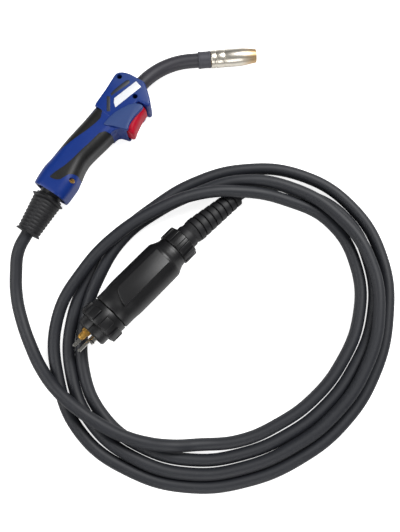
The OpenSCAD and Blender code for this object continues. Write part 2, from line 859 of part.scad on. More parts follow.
module housing_screws() {
    color("silver") at_plug() at_housing_screws() {
        translate([0, 0, -6.1]) cylinder(h = 13.1, r = 1.05);
        translate([0, 0, -7.8]) cylinder(h = 1.8, r = 2);
    }
}

// Brass block that joins the cable's core to the pins
module power_block() {
    color("peru") at_plug() difference() {
        union() {
            rod(insulator_back + 0.2, 50, 12.5);
            rod(49, 80, 8);
        }
        translate([0, POWER_AT[0], POWER_AT[1]]) rod(insulator_back - 1, 34, 3 + fit);
        translate([0, GAS_AT[0], GAS_AT[1]]) rod(insulator_back - 1, 30, 1.8 + fit);
        rod(60, 81, 4);
    }
}

module front_insulator() {
    color("dimgray") at_plug() difference() {
        turned([
            [0, nose_u], [nose_r - 2, nose_u], [nose_r, nose_u + 2], [nose_r, 7.6],
            [nut_thread_r - 0.9, 7.6], [nut_thread_r - 0.9, flange_u - 0.4], [nose_r, flange_u - 0.4],
            [nose_r, insulator_back], [0, insulator_back]
        ]);
        translate([0, POWER_AT[0], POWER_AT[1]]) rod(nose_u - 1, insulator_back + 1, power_r + fit);
        translate([0, GAS_AT[0], GAS_AT[1]]) rod(nose_u - 1, insulator_back + 1, gas_r + fit);
        for (p = CONTACTS_AT) translate([0, p[0], p[1]]) rod(nose_u - 1, spring_seat_u, contact_r + fit);
    }
}

module connection_nut() {
    color("black") at_plug() difference() {
        union() {
            turned([
                [0, nut_front], [nut_r - 1, nut_front], [nut_r, nut_front + 1],
                [nut_r, nut_l - 0.6], [nut_r - 0.6, nut_l], [0, nut_l]
            ]);
            for (a = [0:45:315]) rotate([a, 0, 0])
                box([nut_front + 1.4, -5, nut_r - 3], [nut_l - 4.5, 5, nut_r + 2]);
        }
        rod(nut_front - 1, flange_u, nut_thread_r);
        rod(0, nut_l + 1, nose_r + 0.3);
    }
}

module power_pin() {
    color("goldenrod") at_plug() translate([0, POWER_AT[0], POWER_AT[1]]) difference() {
        union() {
            rod(nose_u - 3, insulator_back, power_r);
            rod(insulator_back - touch, 33, 3);
            cone(nose_u - 4, nose_u - 2.99, power_r - 1.4, power_r);
            rod(nose_u - 9, nose_u - 3.9, power_r - 1.4);
            cone(nose_u - 11, nose_u - 8.99, power_r - 2.6, power_r - 1.4);
        }
        rod(nose_u - 12, nose_u + 18, 1.2);
    }
}

module gas_pin() {
    color("silver") at_plug() translate([0, GAS_AT[0], GAS_AT[1]]) difference() {
        turned([
            [0, nose_u - 7], [gas_r - 0.5, nose_u - 7], [gas_r, nose_u - 6.5], [gas_r, nose_u - 5],
            [gas_r - 0.8, nose_u - 5], [gas_r - 0.8, nose_u - 3.6], [gas_r, nose_u - 3.6],
            [gas_r, insulator_back], [1.8, insulator_back], [1.8, 29], [0, 29]
        ]);
        rod(nose_u - 8, 30, 1);
    }
}

module gas_seals() {
    color("black") at_plug() translate([nose_u - 4.3, GAS_AT[0], GAS_AT[1]]) along_x()
        rotate_extrude() translate([gas_r - 0.1, 0]) circle(0.65);
}

module contact_pin(k) {
    color("silver") at_plug() translate([0, CONTACTS_AT[k][0], CONTACTS_AT[k][1]]) turned([
        [0, contact_tip_u], [contact_r - 0.9, contact_tip_u], [contact_r, contact_tip_u + 0.9],
        [contact_r, contact_end_u], [0, contact_end_u]
    ]);
}

module contact_pin_left() {
    contact_pin(0);
}

module contact_pin_right() {
    contact_pin(1);
}

module pin_springs() {
    color("silver") at_plug() for (p = CONTACTS_AT) translate([0, p[0], p[1]])
        coil_spring(contact_end_u + contact_travel + 0.2, spring_seat_u - 0.05, contact_r - 0.6, 0.3, 5);
}

handle_shell_right();
handle_shell_left();
grip_pad_right();
grip_pad_left();
label_plates();
head_stripes();
handle_screws();
trigger();
trigger_pin();
trigger_spring();
switch_body();
switch_plunger();
control_leads();
power_core();
neck_fitting();
neck_jacket();
neck_tube();
wire_liner();
neck_collar();
tip_holder();
gas_diffuser();
contact_tip();
gas_nozzle();
nozzle_clip();
ball_sleeve();
rear_boot();
torch_cable();
connector_boot();
cable_clamp();
gland_nut();
housing_upper();
housing_lower();
power_block();
front_insulator();
connection_nut();
power_pin();
gas_pin();
gas_seals();
contact_pin_left();
contact_pin_right();
pin_springs();
housing_screws();
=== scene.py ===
"""Looks of a gas-shielded welding torch with its coiled cable and multi-pole connector.

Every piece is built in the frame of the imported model: +Z up, the bench at z = 0. Sizes inside
the classes are millimetres, in the frame of their own sub-assembly; Bench turns them into
metres and puts them in place.
"""

import json
import logging
import math
from dataclasses import dataclass, field
from enum import Enum
from typing import Iterable, Sequence

import bpy
from mathutils import Matrix, Vector

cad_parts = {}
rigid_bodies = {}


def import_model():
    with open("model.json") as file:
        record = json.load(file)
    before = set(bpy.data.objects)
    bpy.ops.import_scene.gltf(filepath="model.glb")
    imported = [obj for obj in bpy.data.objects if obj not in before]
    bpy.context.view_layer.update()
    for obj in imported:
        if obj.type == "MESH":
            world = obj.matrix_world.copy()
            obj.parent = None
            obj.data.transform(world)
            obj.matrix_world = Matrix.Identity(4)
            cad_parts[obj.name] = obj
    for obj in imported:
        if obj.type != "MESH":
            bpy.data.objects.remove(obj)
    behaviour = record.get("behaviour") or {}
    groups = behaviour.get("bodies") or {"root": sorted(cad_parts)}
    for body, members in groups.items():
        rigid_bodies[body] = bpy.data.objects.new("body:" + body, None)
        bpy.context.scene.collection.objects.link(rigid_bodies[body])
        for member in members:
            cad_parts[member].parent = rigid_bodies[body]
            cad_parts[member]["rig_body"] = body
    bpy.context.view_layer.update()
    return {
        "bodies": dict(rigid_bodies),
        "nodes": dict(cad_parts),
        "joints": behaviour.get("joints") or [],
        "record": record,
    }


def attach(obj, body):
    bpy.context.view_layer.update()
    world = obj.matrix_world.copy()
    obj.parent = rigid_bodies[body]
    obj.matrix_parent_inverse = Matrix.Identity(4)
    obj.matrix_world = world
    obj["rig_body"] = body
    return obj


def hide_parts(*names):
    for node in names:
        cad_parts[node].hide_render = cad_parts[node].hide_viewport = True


LOG = logging.getLogger("torch")
MM = 0.001
RING_JOIN_M = 0.00001
MIX_FIRST, MIX_SECOND, MIX_COLOUR = 6, 7, 2
Point2 = tuple[float, float]
Point3 = tuple[float, float, float]
Colour = tuple[float, float, float, float]


class Body(Enum):
    """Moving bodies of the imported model."""

    LEAD = "lead"
    HANDLE = "handle"
    TRIGGER = "trigger"
    NOZZLE = "nozzle"
    CONNECTION_NUT = "connection_nut"
    GLAND_NUT = "gland_nut"


class Axis(Enum):
    """Axes of a frame."""

    X = "X"
    Y = "Y"
    Z = "Z"


# ---------------------------------------------------------------------------
# Frames of the sub-assemblies
# ---------------------------------------------------------------------------


def turned(axis: Axis, degrees: float) -> Matrix:
    """Rotation matrix about one axis."""
    return Matrix.Rotation(math.radians(degrees), 4, axis.value)


def moved(x: float, y: float, z: float) -> Matrix:
    """Translation matrix from millimetres."""
    return Matrix.Translation((x * MM, y * MM, z * MM))


@dataclass(frozen=True)
class Layout:
    """Where the sub-assemblies lie, in millimetres and degrees."""

    butt: Point3 = (-104.7, -78.7, 19.0)
    handle_turn: float = 58.0
    neck_root: Point3 = (104.0, -5.4, 0.0)
    neck_turn: float = -9.0
    neck_in: float = 56.5
    neck_radius: float = 80.0
    neck_bend: float = 44.0
    neck_out: float = 9.5
    collar_length: float = 14.7
    nut_face: Point2 = (-45.5, -220.5)
    plug_turn: float = 46.6
    plug_tilt: float = 5.5
    plug_height: float = 31.644
    swivel: float = 13.0
    swivel_lean: float = 3.1
    knuckle: float = 133.0
    boot_turn: float = -5.6
    boot_dip: float = 1.7

    def handle(self) -> Matrix:
        """Frame of the handle: x along the grip from the butt, y to its back."""
        return moved(*self.butt) @ turned(Axis.Z, self.handle_turn)

    def rear_boot(self) -> Matrix:
        """Frame of the swivel's sleeve and boot, which lean a little in the ball joint."""
        lean = turned(Axis.Z, self.swivel_lean) @ moved(-self.swivel, 0, 0)
        return self.handle() @ moved(self.swivel, 0, 0) @ lean

    def neck(self) -> Matrix:
        """Frame of the swan neck before its bend."""
        return self.handle() @ moved(*self.neck_root) @ turned(Axis.Z, self.neck_turn)

    def nozzle(self) -> Matrix:
        """Frame of the nozzle, x out of its mouth."""
        bend = moved(self.neck_in, -self.neck_radius, 0) @ turned(Axis.Z, -self.neck_bend)
        return self.neck() @ bend @ moved(self.neck_out, self.neck_radius, 0)

    def plug(self) -> Matrix:
        """Frame of the connector: x from the nut's face towards the cable."""
        at = moved(self.nut_face[0], self.nut_face[1], self.plug_height)
        return at @ turned(Axis.Z, self.plug_turn) @ turned(Axis.Y, self.plug_tilt)

    def plug_boot(self) -> Matrix:
        """Frame of the connector's boot, which leans away from the connector's axis."""
        lean = turned(Axis.Z, self.boot_turn) @ turned(Axis.Y, self.boot_dip)
        return self.plug() @ moved(self.knuckle, 0, 0) @ lean


LAYOUT = Layout()


# ---------------------------------------------------------------------------
# Shader maths
# ---------------------------------------------------------------------------


class Value:
    """One float output of a node; operators on it add Math nodes."""

    def __init__(self, shader: "Shader", socket: bpy.types.NodeSocket) -> None:
        """Wraps a socket.

        Args:
            shader: the graph that the socket is in.
            socket: a float output.
        """
        self.shader = shader
        self.socket = socket

    def _math(self, operation: str, *inputs: object) -> "Value":
        """Adds one Math node and returns its result."""
        return self.shader.add("Math", {"operation": operation}, dict(enumerate(inputs))).value()

    def __add__(self, other: object) -> "Value":
        """Sum."""
        return self._math("ADD", self, other)

    def __radd__(self, other: object) -> "Value":
        """Sum, with the number first."""
        return self._math("ADD", other, self)

    def __sub__(self, other: object) -> "Value":
        """Difference."""
        return self._math("SUBTRACT", self, other)

    def __rsub__(self, other: object) -> "Value":
        """Difference, with the number first."""
        return self._math("SUBTRACT", other, self)

    def __mul__(self, other: object) -> "Value":
        """Product."""
        return self._math("MULTIPLY", self, other)

    def __rmul__(self, other: object) -> "Value":
        """Product, with the number first."""
        return self._math("MULTIPLY", other, self)

    def __truediv__(self, other: object) -> "Value":
        """Quotient."""
        return self._math("DIVIDE", self, other)

    def __rtruediv__(self, other: object) -> "Value":
        """Quotient, with the number first."""
        return self._math("DIVIDE", other, self)

    def step(self, low: float, high: float) -> "Value":
        """Smooth step between two values.

        Args:
            low: value where the step is 0.
            high: value where the step is 1.

        Returns:
            The step.
        """
        settings = {"interpolation_type": "SMOOTHSTEP"}
        inputs = {"Value": self, "From Min": low, "From Max": high}
        return self.shader.add("MapRange", settings, inputs).value("Result")


class Added:
    """A node just added, with its outputs."""

    def __init__(self, shader: "Shader", node: bpy.types.Node) -> None:
        """Wraps a node.

        Args:
            shader: the graph that the node is in.
            node: the node.
        """
        self.shader = shader
        self.node = node

    def value(self, name: str | int = 0) -> Value:
        """One output as a value."""
        return Value(self.shader, self.node.outputs[name])

    def socket(self, name: str | int = 0) -> bpy.types.NodeSocket:
        """One output as a plain socket, for colours and vectors."""
        return self.node.outputs[name]


class Shader:
    """Node graph of one material, with a Principled surface."""

    def __init__(self, name: str) -> None:
        """Starts a material.

        Args:
            name: name of the material.
        """
        self.material = bpy.data.materials.new(name)
        self.material.use_nodes = True
        self.tree = self.material.node_tree
        self.surface = self.tree.nodes["Principled BSDF"]
        self.place = self.add("TexCoord").socket("Object")

    def add(self, kind: str, settings: dict | None = None, inputs: dict | None = None) -> Added:
        """Adds any node.

        Args:
            kind: type of the node, without the ShaderNode prefix.
            settings: properties of the node, set before its inputs.
            inputs: input name or number to a value, a Value or a socket.

        Returns:
            The wrapped node.
        """
        node = self.tree.nodes.new("ShaderNode" + kind)
        for key, value in (settings or {}).items():
            setattr(node, key, value)
        for key, value in (inputs or {}).items():
            self.feed(node.inputs[key], value)
        return Added(self, node)

    def feed(self, target: bpy.types.NodeSocket, value: object) -> None:
        """Links a value to a socket, or sets the socket's own value.

        Args:
            target: input socket.
            value: a Value, a socket, or a plain number, colour or vector.
        """
        if isinstance(value, Value):
            self.tree.links.new(value.socket, target)
        elif isinstance(value, bpy.types.NodeSocket):
            self.tree.links.new(value, target)
        else:
            target.default_value = value

    def noise(self, size_mm: float, detail: float = 2.0, vector: object = None,
              rough: float = 0.5) -> Value:
        """Noise of 0 to 1 with features of about one size.

        Args:
            size_mm: size of a feature in millimetres.
            detail: number of finer octaves.
            vector: coordinates, or the object's own.
            rough: share of the finer octaves.

        Returns:
            The noise.
        """
        inputs = {
            "Vector": self.place if vector is None else vector,
            "Scale": 1.0 / (size_mm * MM),
            "Detail": detail,
            "Roughness": rough,
        }
        return self.add("TexNoise", {}, inputs).value(0)

    def cells(self, size_mm: float) -> Value:
        """Distance to the nearest cell centre, in cells of one size."""
        inputs = {"Vector": self.place, "Scale": 1.0 / (size_mm * MM)}
        return self.add("TexVoronoi", {}, inputs).value("Distance")

    def along(self, frame: Matrix, stretch: Point3 = (1.0, 1.0, 1.0)) -> bpy.types.NodeSocket:
        """Object coordinates turned into a sub-assembly's frame.

        Args:
            frame: the sub-assembly's frame.
            stretch: scale of each axis after the turn.

        Returns:
            A vector socket.
        """
        inverse = frame.inverted()
        turn = inverse.to_euler()
        shift = self.add("Mapping", {"vector_type": "POINT"}, {
            "Vector": self.place,
            "Location": inverse.to_translation(),
            "Rotation": (turn.x, turn.y, turn.z),
        })
        return self.add("Mapping", {"vector_type": "POINT"}, {
            "Vector": shift.socket(), "Scale": stretch}).socket()

    def mix(self, share: object, low: object, high: object) -> bpy.types.NodeSocket:
        """Mix of two colours.

        Args:
            share: how much of the second.
            low: first colour.
            high: second colour.

        Returns:
            The mixed colour.
        """
        node = self.add("Mix", {"data_type": "RGBA"}, {0: share})
        self.feed(node.node.inputs[MIX_FIRST], low)
        self.feed(node.node.inputs[MIX_SECOND], high)
        return node.socket(MIX_COLOUR)

    def relief(self, height: Value, depth_mm: float, under: object = None) -> bpy.types.NodeSocket:
        """Bumps from a height.

        Args:
            height: height of 0 to 1.
            depth_mm: depth of the full height in millimetres.
            under: normal of a coarser relief below this one.

        Returns:
            A normal.
        """
        inputs = {"Height": height, "Distance": depth_mm * MM, "Strength": 1.0}
        if under is not None:
            inputs["Normal"] = under
        return self.add("Bump", {}, inputs).socket()

    def finish(self, **inputs: object) -> bpy.types.Material:
        """Feeds the surface's inputs.

        Args:
            inputs: input names with underscores for spaces.

        Returns:
            The finished material.
        """
        for key, value in inputs.items():
            title = key.replace("_", " ").title().replace("Ior", "IOR")
            self.feed(self.surface.inputs[title], value)
        return self.material


def linear(level: int) -> float:
    """Scene value of a screen level of 0 to 255."""
    v = level / 255.0
    return v / 12.92 if v <= 0.04045 else ((v + 0.055) / 1.055) ** 2.4


def rgb(red: int, green: int, blue: int) -> Colour:
    """Scene colour from a screen colour of 0 to 255 each."""
    return (linear(red), linear(green), linear(blue), 1.0)


def shade(colour: Sequence[float], factor: float) -> Colour:
    """A colour made lighter or darker."""
    return (*(min(1.0, c * factor) for c in colour[:3]), 1.0)


# ---------------------------------------------------------------------------
# Finishes
# ---------------------------------------------------------------------------


@dataclass(frozen=True)
class MouldedPlastic:
    """Injection-moulded plastic: fine spark-eroded grain, handling marks, optional painted sheen.
    """

    name: str
    colour: Colour
    roughness: float = 0.42
    grain_mm: float = 0.55
    grain_depth_mm: float = 0.035
    wear: float = 0.10
    gloss: float = 0.5
    # Paler tone painted as sheen on the handle's raised panel and nose; None leaves it out.
    painted_sheen_tone: Colour | None = None
    broad_mm: float = 38.0
    mark_mm: float = 5.5

    def material(self) -> bpy.types.Material:
        """Builds the material.

        Returns:
            The material.
        """
        s = Shader(self.name)
        broad = s.noise(self.broad_mm, 3.0)
        marks = s.noise(self.mark_mm, 4.0, rough=0.7).step(0.60, 0.78)
        grain = s.cells(self.grain_mm) * 0.6 + s.noise(self.grain_mm * 1.6, 1.0) * 0.4
        tone = s.mix(broad, shade(self.colour, 0.93), shade(self.colour, 1.08))
        # Painted sheen: a paler tone placed in the handle's frame stands in for light glancing off
        # the panel and nose.
        if self.painted_sheen_tone:
            tone = s.mix(self._painted_sheen_share(s), tone, self.painted_sheen_tone)
        worn = s.mix(marks * self.wear, tone, shade(self.colour, 1.9))
        rough = broad * 0.10 + marks * 0.08 + (self.roughness - 0.06)
        return s.finish(
            base_color=worn, roughness=rough, specular_ior_level=self.gloss,
            normal=s.relief(grain, self.grain_depth_mm),
        )

    @staticmethod
    def _painted_sheen_share(s: Shader) -> Value:
        """Share of the painted sheen, a paler tone for light glancing off: all of it on the raised
        panel, part of it on the nose.

        Args:
            s: the material's graph.

        Returns:
            The share.
        """
        place = s.add("SeparateXYZ", {}, {0: s.along(LAYOUT.handle())})
        along, height = place.value("X") / MM, place.value("Z") / MM
        panel = height.step(17.25, 17.6) * along.step(86.0, 94.0)
        nose = height.step(15.9, 16.5) * along.step(126.0, 150.0) * 0.55
        return panel + nose * (1.0 - panel)


@dataclass(frozen=True)
class SoftRubber:
    """Moulded rubber with a matt skin, faint dust in its grain and softly varying gloss."""

    name: str
    colour: Colour
    roughness: float = 0.5
    dust: float = 0.10
    grain_mm: float = 0.8
    grain_depth_mm: float = 0.05
    broad_mm: float = 24.0
    dust_mm: float = 2.2

    def material(self) -> bpy.types.Material:
        """Builds the material.

        Returns:
            The material.
        """
        s = Shader(self.name)
        broad = s.noise(self.broad_mm, 3.0)
        dust = s.noise(self.dust_mm, 5.0, rough=0.75).step(0.52, 0.80)
        grain = s.noise(self.grain_mm, 2.0)
        tone = s.mix(broad, shade(self.colour, 0.85), shade(self.colour, 1.15))
        dusty = s.mix(dust * self.dust, tone, rgb(120, 118, 112))
        rough = broad * 0.12 + dust * 0.10 + (self.roughness - 0.08)
        return s.finish(
            base_color=dusty, roughness=rough, specular_ior_level=0.45,
            normal=s.relief(grain, self.grain_depth_mm),
        )


@dataclass(frozen=True)
class CableJacket:
    """Extruded rubber jacket: a satin skin, slightly uneven, with a few scuffs."""

    name: str = "cable_jacket"
    colour: Colour = rgb(27, 29, 35)
    roughness: float = 0.50
    broad_mm: float = 30.0
    scuff_mm: float = 4.0
    skin_mm: float = 0.6
    wave_mm: float = 7.0

    def material(self) -> bpy.types.Material:
        """Builds the material.

        Returns:
            The material.
        """
        s = Shader(self.name)
        broad = s.noise(self.broad_mm, 3.0)
        scuff = s.noise(self.scuff_mm, 5.0, rough=0.75).step(0.58, 0.80)
        skin = s.noise(self.skin_mm, 2.0)
        tone = s.mix(broad, shade(self.colour, 0.82), shade(self.colour, 1.15))
        worn = s.mix(scuff * 0.12, tone, rgb(118, 120, 124))
        rough = broad * 0.12 + scuff * 0.10 + self.roughness
        waves = s.noise(self.wave_mm, 1.0)
        return s.finish(
            base_color=worn, roughness=rough, specular_ior_level=0.5,
            normal=s.relief(waves, 0.10, s.relief(skin, 0.03)),
        )


@dataclass(frozen=True)
class TurnedMetal:
    """Metal turned on a lathe: fine rings around its axis, and stains in patches."""

    name: str
    colour: Colour
    roughness: float = 0.22
    tool_mark_mm: float = 0.35
    stain: float = 0.25
    stain_colour: Colour = rgb(92, 78, 60)
    frame: Matrix | None = None
    patch_mm: float = 9.0
    ring_depth_mm: float = 0.012

    def material(self) -> bpy.types.Material:
        """Builds the material.

        Returns:
            The material.
        """
        s = Shader(self.name)
        vector = s.along(self.frame, (1.0, 0.04, 0.04)) if self.frame else None
        rings = s.noise(self.tool_mark_mm, 2.0, vector=vector)
        patches = s.noise(self.patch_mm, 4.0, rough=0.65)
        tone = s.mix(patches.step(0.35, 0.8) * self.stain, self.colour, self.stain_colour)
        rough = rings * 0.08 + patches * 0.10 + (self.roughness - 0.07)
        return s.finish(
            base_color=tone, metallic=1.0, roughness=rough,
            normal=s.relief(rings, self.ring_depth_mm),
        )


@dataclass(frozen=True)
class ScrewMetal:
    """Handle screws: bare brass at the butt, blackened steel under the head."""

    name: str = "screw_metal"
    frame: Matrix = field(default_factory=LAYOUT.handle)
    brass_until: float = 50.0
    black_from: float = 70.0

    def material(self) -> bpy.types.Material:
        """Builds the material.

        Returns:
            The material.
        """
        s = Shader(self.name)
        x = s.add("SeparateXYZ", {}, {0: s.along(self.frame)}).value("X") / MM
        patches = s.noise(2.0, 4.0, rough=0.65)
        brass = s.mix(patches.step(0.35, 0.8) * 0.3, rgb(206, 164, 96), rgb(96, 78, 54))
        black = s.mix(patches, rgb(30, 31, 34), rgb(62, 62, 66))
        return s.finish(
            base_color=s.mix(x.step(self.brass_until, self.black_from), brass, black),
            metallic=1.0, roughness=patches * 0.2 + 0.22,
            normal=s.relief(s.noise(0.5, 2.0), 0.012),
        )


@dataclass(frozen=True)
class HeatTintedNickel:
    """Polished nickel plate, tinted straw towards the hot end of the nozzle."""

    name: str = "nickel_plate"
    frame: Matrix = field(default_factory=LAYOUT.nozzle)
    tint_from: float = 34.0
    tint_full: float = 56.0
    ring_mm: float = 0.5
    smear_mm: float = 7.0

    def material(self) -> bpy.types.Material:
        """Builds the material.

        Returns:
            The material.
        """
        s = Shader(self.name)
        inside = s.along(self.frame)
        x = s.add("SeparateXYZ", {}, {0: inside}).value("X") / MM
        rings = s.noise(self.ring_mm, 2.0, vector=s.along(self.frame, (1.0, 0.03, 0.03)))
        smears = s.noise(self.smear_mm, 4.0, rough=0.7)
        heat = (x + smears * 10.0).step(LAYOUT.collar_length + self.tint_from,
                                        LAYOUT.collar_length + self.tint_full)
        plate = s.mix(smears.step(0.3, 0.8) * 0.35, rgb(222, 216, 204), rgb(176, 165, 148))
        tinted = s.mix(heat, plate, rgb(190, 160, 118))
        rough = rings * 0.05 + smears * 0.10 + heat * 0.10 + 0.27
        return s.finish(
            base_color=tinted, metallic=1.0, roughness=rough,
            normal=s.relief(rings, 0.01),
        )


@dataclass(frozen=True)
class LabelFilm:
    """Bare white label under a clear film."""

    name: str = "white_label"
    colour: Colour = rgb(224, 226, 230)
    broad_mm: float = 12.0
    dirt_mm: float = 3.0

    def material(self) -> bpy.types.Material:
        """Builds the material.

        Returns:
            The material.
        """
        s = Shader(self.name)
        broad = s.noise(self.broad_mm, 3.0)
        dirt = s.noise(self.dirt_mm, 5.0, rough=0.7).step(0.58, 0.85)
        tone = s.mix(broad, shade(self.colour, 0.92), self.colour)
        return s.finish(
            base_color=s.mix(dirt * 0.35, tone, rgb(150, 148, 142)),
            roughness=broad * 0.15 + 0.22, coat_weight=0.4, coat_roughness=0.15,
            normal=s.relief(s.noise(1.6, 2.0), 0.01),
        )


class Palette:
    """All materials of the torch, built once."""

    def __init__(self) -> None:
        """Builds every finish."""
        finishes = [
            # The paler tone given to the blue shells is painted sheen on the panel and nose, not a
            # colour of the plastic.
            MouldedPlastic("blue_plastic", rgb(4, 42, 116), roughness=0.42, wear=0.05, gloss=0.36,
                           painted_sheen_tone=rgb(48, 68, 116)),
            MouldedPlastic("grey_stripe", rgb(34, 38, 48), roughness=0.5, wear=0.06),
            MouldedPlastic("red_plastic", rgb(172, 4, 38), roughness=0.46, grain_depth_mm=0.015,
                           wear=0.02, gloss=0.2),
            MouldedPlastic("black_plastic", rgb(13, 13, 15), roughness=0.40, wear=0.04),
            MouldedPlastic("lead_insulation", rgb(196, 150, 30), roughness=0.45, wear=0.04),
            MouldedPlastic("neck_coating", rgb(46, 45, 51), roughness=0.46, grain_mm=0.9,
                           wear=0.08),
            MouldedPlastic("collar_plastic", rgb(62, 62, 69), roughness=0.52, wear=0.08),
            MouldedPlastic("ceramic", rgb(226, 218, 196), roughness=0.55, wear=0.05),
            MouldedPlastic("white_plastic", rgb(214, 212, 204), roughness=0.45, wear=0.04),
            SoftRubber("soft_rubber", rgb(20, 20, 20), roughness=0.42, dust=0.06),
            SoftRubber("boot_rubber", rgb(18, 18, 21), roughness=0.56, dust=0.04),
            CableJacket(),
            LabelFilm(),
            HeatTintedNickel(),
            ScrewMetal(),
            TurnedMetal("brass", rgb(214, 166, 84), roughness=0.36, stain=0.12,
                        frame=LAYOUT.plug()),
            TurnedMetal("copper", rgb(206, 128, 88), roughness=0.30, frame=LAYOUT.nozzle()),
            TurnedMetal("steel", rgb(178, 178, 180), roughness=0.30, stain=0.10),
            TurnedMetal("nickel", rgb(206, 204, 198), roughness=0.20, stain=0.12,
                        frame=LAYOUT.plug()),
        ]
        self._made = {finish.name: finish.material() for finish in finishes}

    def __getitem__(self, name: str) -> bpy.types.Material:
        """Material of one finish."""
        return self._made[name]


# ---------------------------------------------------------------------------
# Modelling
# ---------------------------------------------------------------------------


class Bench:
    """Modelling by operators: primitives shaped in edit mode, then modifiers applied."""

    def __init__(self, palette: Palette) -> None:
        """Keeps the palette and the list of finished pieces.

        Args:
            palette: the torch's materials.
        """
        self.palette = palette
        self.made: list[bpy.types.Object] = []

    # -- selection ----------------------------------------------------------

    @staticmethod
    def clear() -> None:
        """Deselects everything."""
        if bpy.context.mode != "OBJECT":
            bpy.ops.object.mode_set(mode="OBJECT")
        bpy.ops.object.select_all(action="DESELECT")

    def pick(self, *objects: bpy.types.Object) -> None:
        """Selects some objects.

        Args:
            objects: the objects; the first one is made active.
        """
        self.clear()
        for o in objects:
            o.select_set(True)
        bpy.context.view_layer.objects.active = objects[0]

    @staticmethod
    def named(name: str) -> bpy.types.Object:
        """Names the active object and its mesh.

        Args:
            name: the new name.

        Returns:
            The active object.
        """
        o = bpy.context.active_object
        o.name = name
        o.data.name = name
        return o

    # -- rings --------------------------------------------------------------

    def _grow(self, stations: Sequence[tuple[float, float, float, float, float]]) -> None:
        """Extrudes the selected ring from station to station.

        Args:
            stations: x, middle y, middle z, half height and half width of each ring.
        """
        for before, after in zip(stations, stations[1:]):
            step = [(b - a) * MM for a, b in zip(before[:3], after[:3])]
            bpy.ops.mesh.extrude_region_move(TRANSFORM_OT_translate={"value": step})
            bpy.ops.transform.resize(
                value=(1.0, after[3] / before[3], after[4] / before[4]),
                center_override=[v * MM for v in after[:3]],
            )

    def finish_rings(self, closed: bool, caps: tuple[bool, bool]) -> None:
        """Caps the first and last ring, or joins them where the surface closes on itself.

        Args:
            closed: whether the last ring lies on the first.
            caps: whether to fill the first and the last ring.
        """
        if closed:
            bpy.ops.mesh.select_all(action="SELECT")
            bpy.ops.mesh.remove_doubles(threshold=RING_JOIN_M)
        elif any(caps):
            bpy.ops.mesh.select_all(action="DESELECT")
            bpy.ops.mesh.select_non_manifold()
            bpy.ops.mesh.edge_face_add() if not all(caps) else bpy.ops.mesh.fill_holes(sides=0)
        bpy.ops.mesh.select_all(action="SELECT")
        bpy.ops.mesh.normals_make_consistent(inside=False)
        bpy.ops.object.mode_set(mode="OBJECT")

    def turning(self, name: str, profile: Sequence[Point2], segments: int = 64,
                closed: bool = False) -> bpy.types.Object:
        """A piece turned about X: a circle extruded and resized along a profile.

        Args:
            name: name of the piece.
            profile: place along X and radius of each ring.
            segments: sides of the circle.
            closed: whether the profile comes back to its first point, as on a sleeve.

        Returns:
            The piece, in its own frame.
        """
        self.clear()
        x, r = profile[0]
        bpy.ops.mesh.primitive_circle_add(
            vertices=segments, radius=r * MM, location=(x * MM, 0, 0),
            rotation=(0, math.pi / 2, 0))
        o = self.named(name)
        bpy.ops.object.transform_apply(location=True, rotation=True, scale=True)
        bpy.ops.object.mode_set(mode="EDIT")
        bpy.ops.mesh.select_all(action="SELECT")
        points = [*profile, profile[0]] if closed else list(profile)
        self._grow([(x, 0.0, 0.0, r, r) for x, r in points])
        self.finish_rings(closed, (True, True))
        return o

    def loft(self, name: str, sections: Sequence[tuple[float, float, float, float]],
             corner: float = 0.6, corner_steps: int = 8) -> bpy.types.Object:
        """A body of rounded-box sections along X.

        Args:
            name: name of the piece.
            sections: x, top y, bottom y and half width of each section.
            corner: corner radius as a share of the half size.
            corner_steps: faces around each corner.

        Returns:
            The piece, in its own frame.
        """
        self.clear()
        bpy.ops.mesh.primitive_plane_add(size=2.0 * MM, rotation=(0, math.pi / 2, 0))
        o = self.named(name)
        bpy.ops.object.transform_apply(location=True, rotation=True, scale=True)
        bpy.ops.object.mode_set(mode="EDIT")
        bpy.ops.mesh.select_all(action="SELECT")
        bpy.ops.mesh.delete(type="ONLY_FACE")
        bpy.ops.mesh.select_all(action="SELECT")
        bpy.ops.mesh.bevel(offset=corner * MM, segments=corner_steps, affect="VERTICES",
                           offset_type="OFFSET", profile=0.5)
        bpy.ops.mesh.select_all(action="SELECT")
        rings = [(x, (top + low) / 2, 0.0, (top - low) / 2, half)
                 for x, top, low, half in sections]
        first = rings[0]
        bpy.ops.transform.resize(value=(1.0, first[3], first[4]), center_override=(0, 0, 0))
        bpy.ops.transform.translate(value=[v * MM for v in first[:3]])
        self._grow(rings)
        self.finish_rings(False, (True, True))
        return o

    def prism(self, name: str, outline: Sequence[Point2], low: float, high: float
              ) -> bpy.types.Object:
        """A plate with a drawn outline in the X-Y plane.

        Args:
            name: name of the piece.
            outline: corners of the outline.
            low: height of its underside.
            high: height of its top.

        Returns:
            The piece, in its own frame.
        """
        self.clear()
        bpy.ops.mesh.primitive_circle_add(vertices=len(outline), radius=MM)
        o = self.named(name)
        for vertex, (x, y) in zip(o.data.vertices, outline):
            vertex.co = (x * MM, y * MM, low * MM)
        bpy.ops.object.mode_set(mode="EDIT")
        bpy.ops.mesh.select_all(action="SELECT")
        bpy.ops.mesh.edge_face_add()
        bpy.ops.mesh.extrude_region_move(
            TRANSFORM_OT_translate={"value": (0, 0, (high - low) * MM)})
        bpy.ops.mesh.select_all(action="SELECT")
        bpy.ops.mesh.normals_make_consistent(inside=False)
        bpy.ops.object.mode_set(mode="OBJECT")
        return o

    def block(self, name: str, low: Point3, high: Point3) -> bpy.types.Object:
        """A box between two corners.

        Args:
            name: name of the piece.
            low: corner with the least x, y and z.
            high: corner with the greatest x, y and z.

        Returns:
            The piece, in its own frame.
        """
        self.clear()
        middle = [(a + b) / 2 * MM for a, b in zip(low, high)]
        bpy.ops.mesh.primitive_cube_add(size=1.0, location=middle)
        o = self.named(name)
        o.scale = [(b - a) * MM for a, b in zip(low, high)]
        bpy.ops.object.transform_apply(location=True, rotation=True, scale=True)
        return o

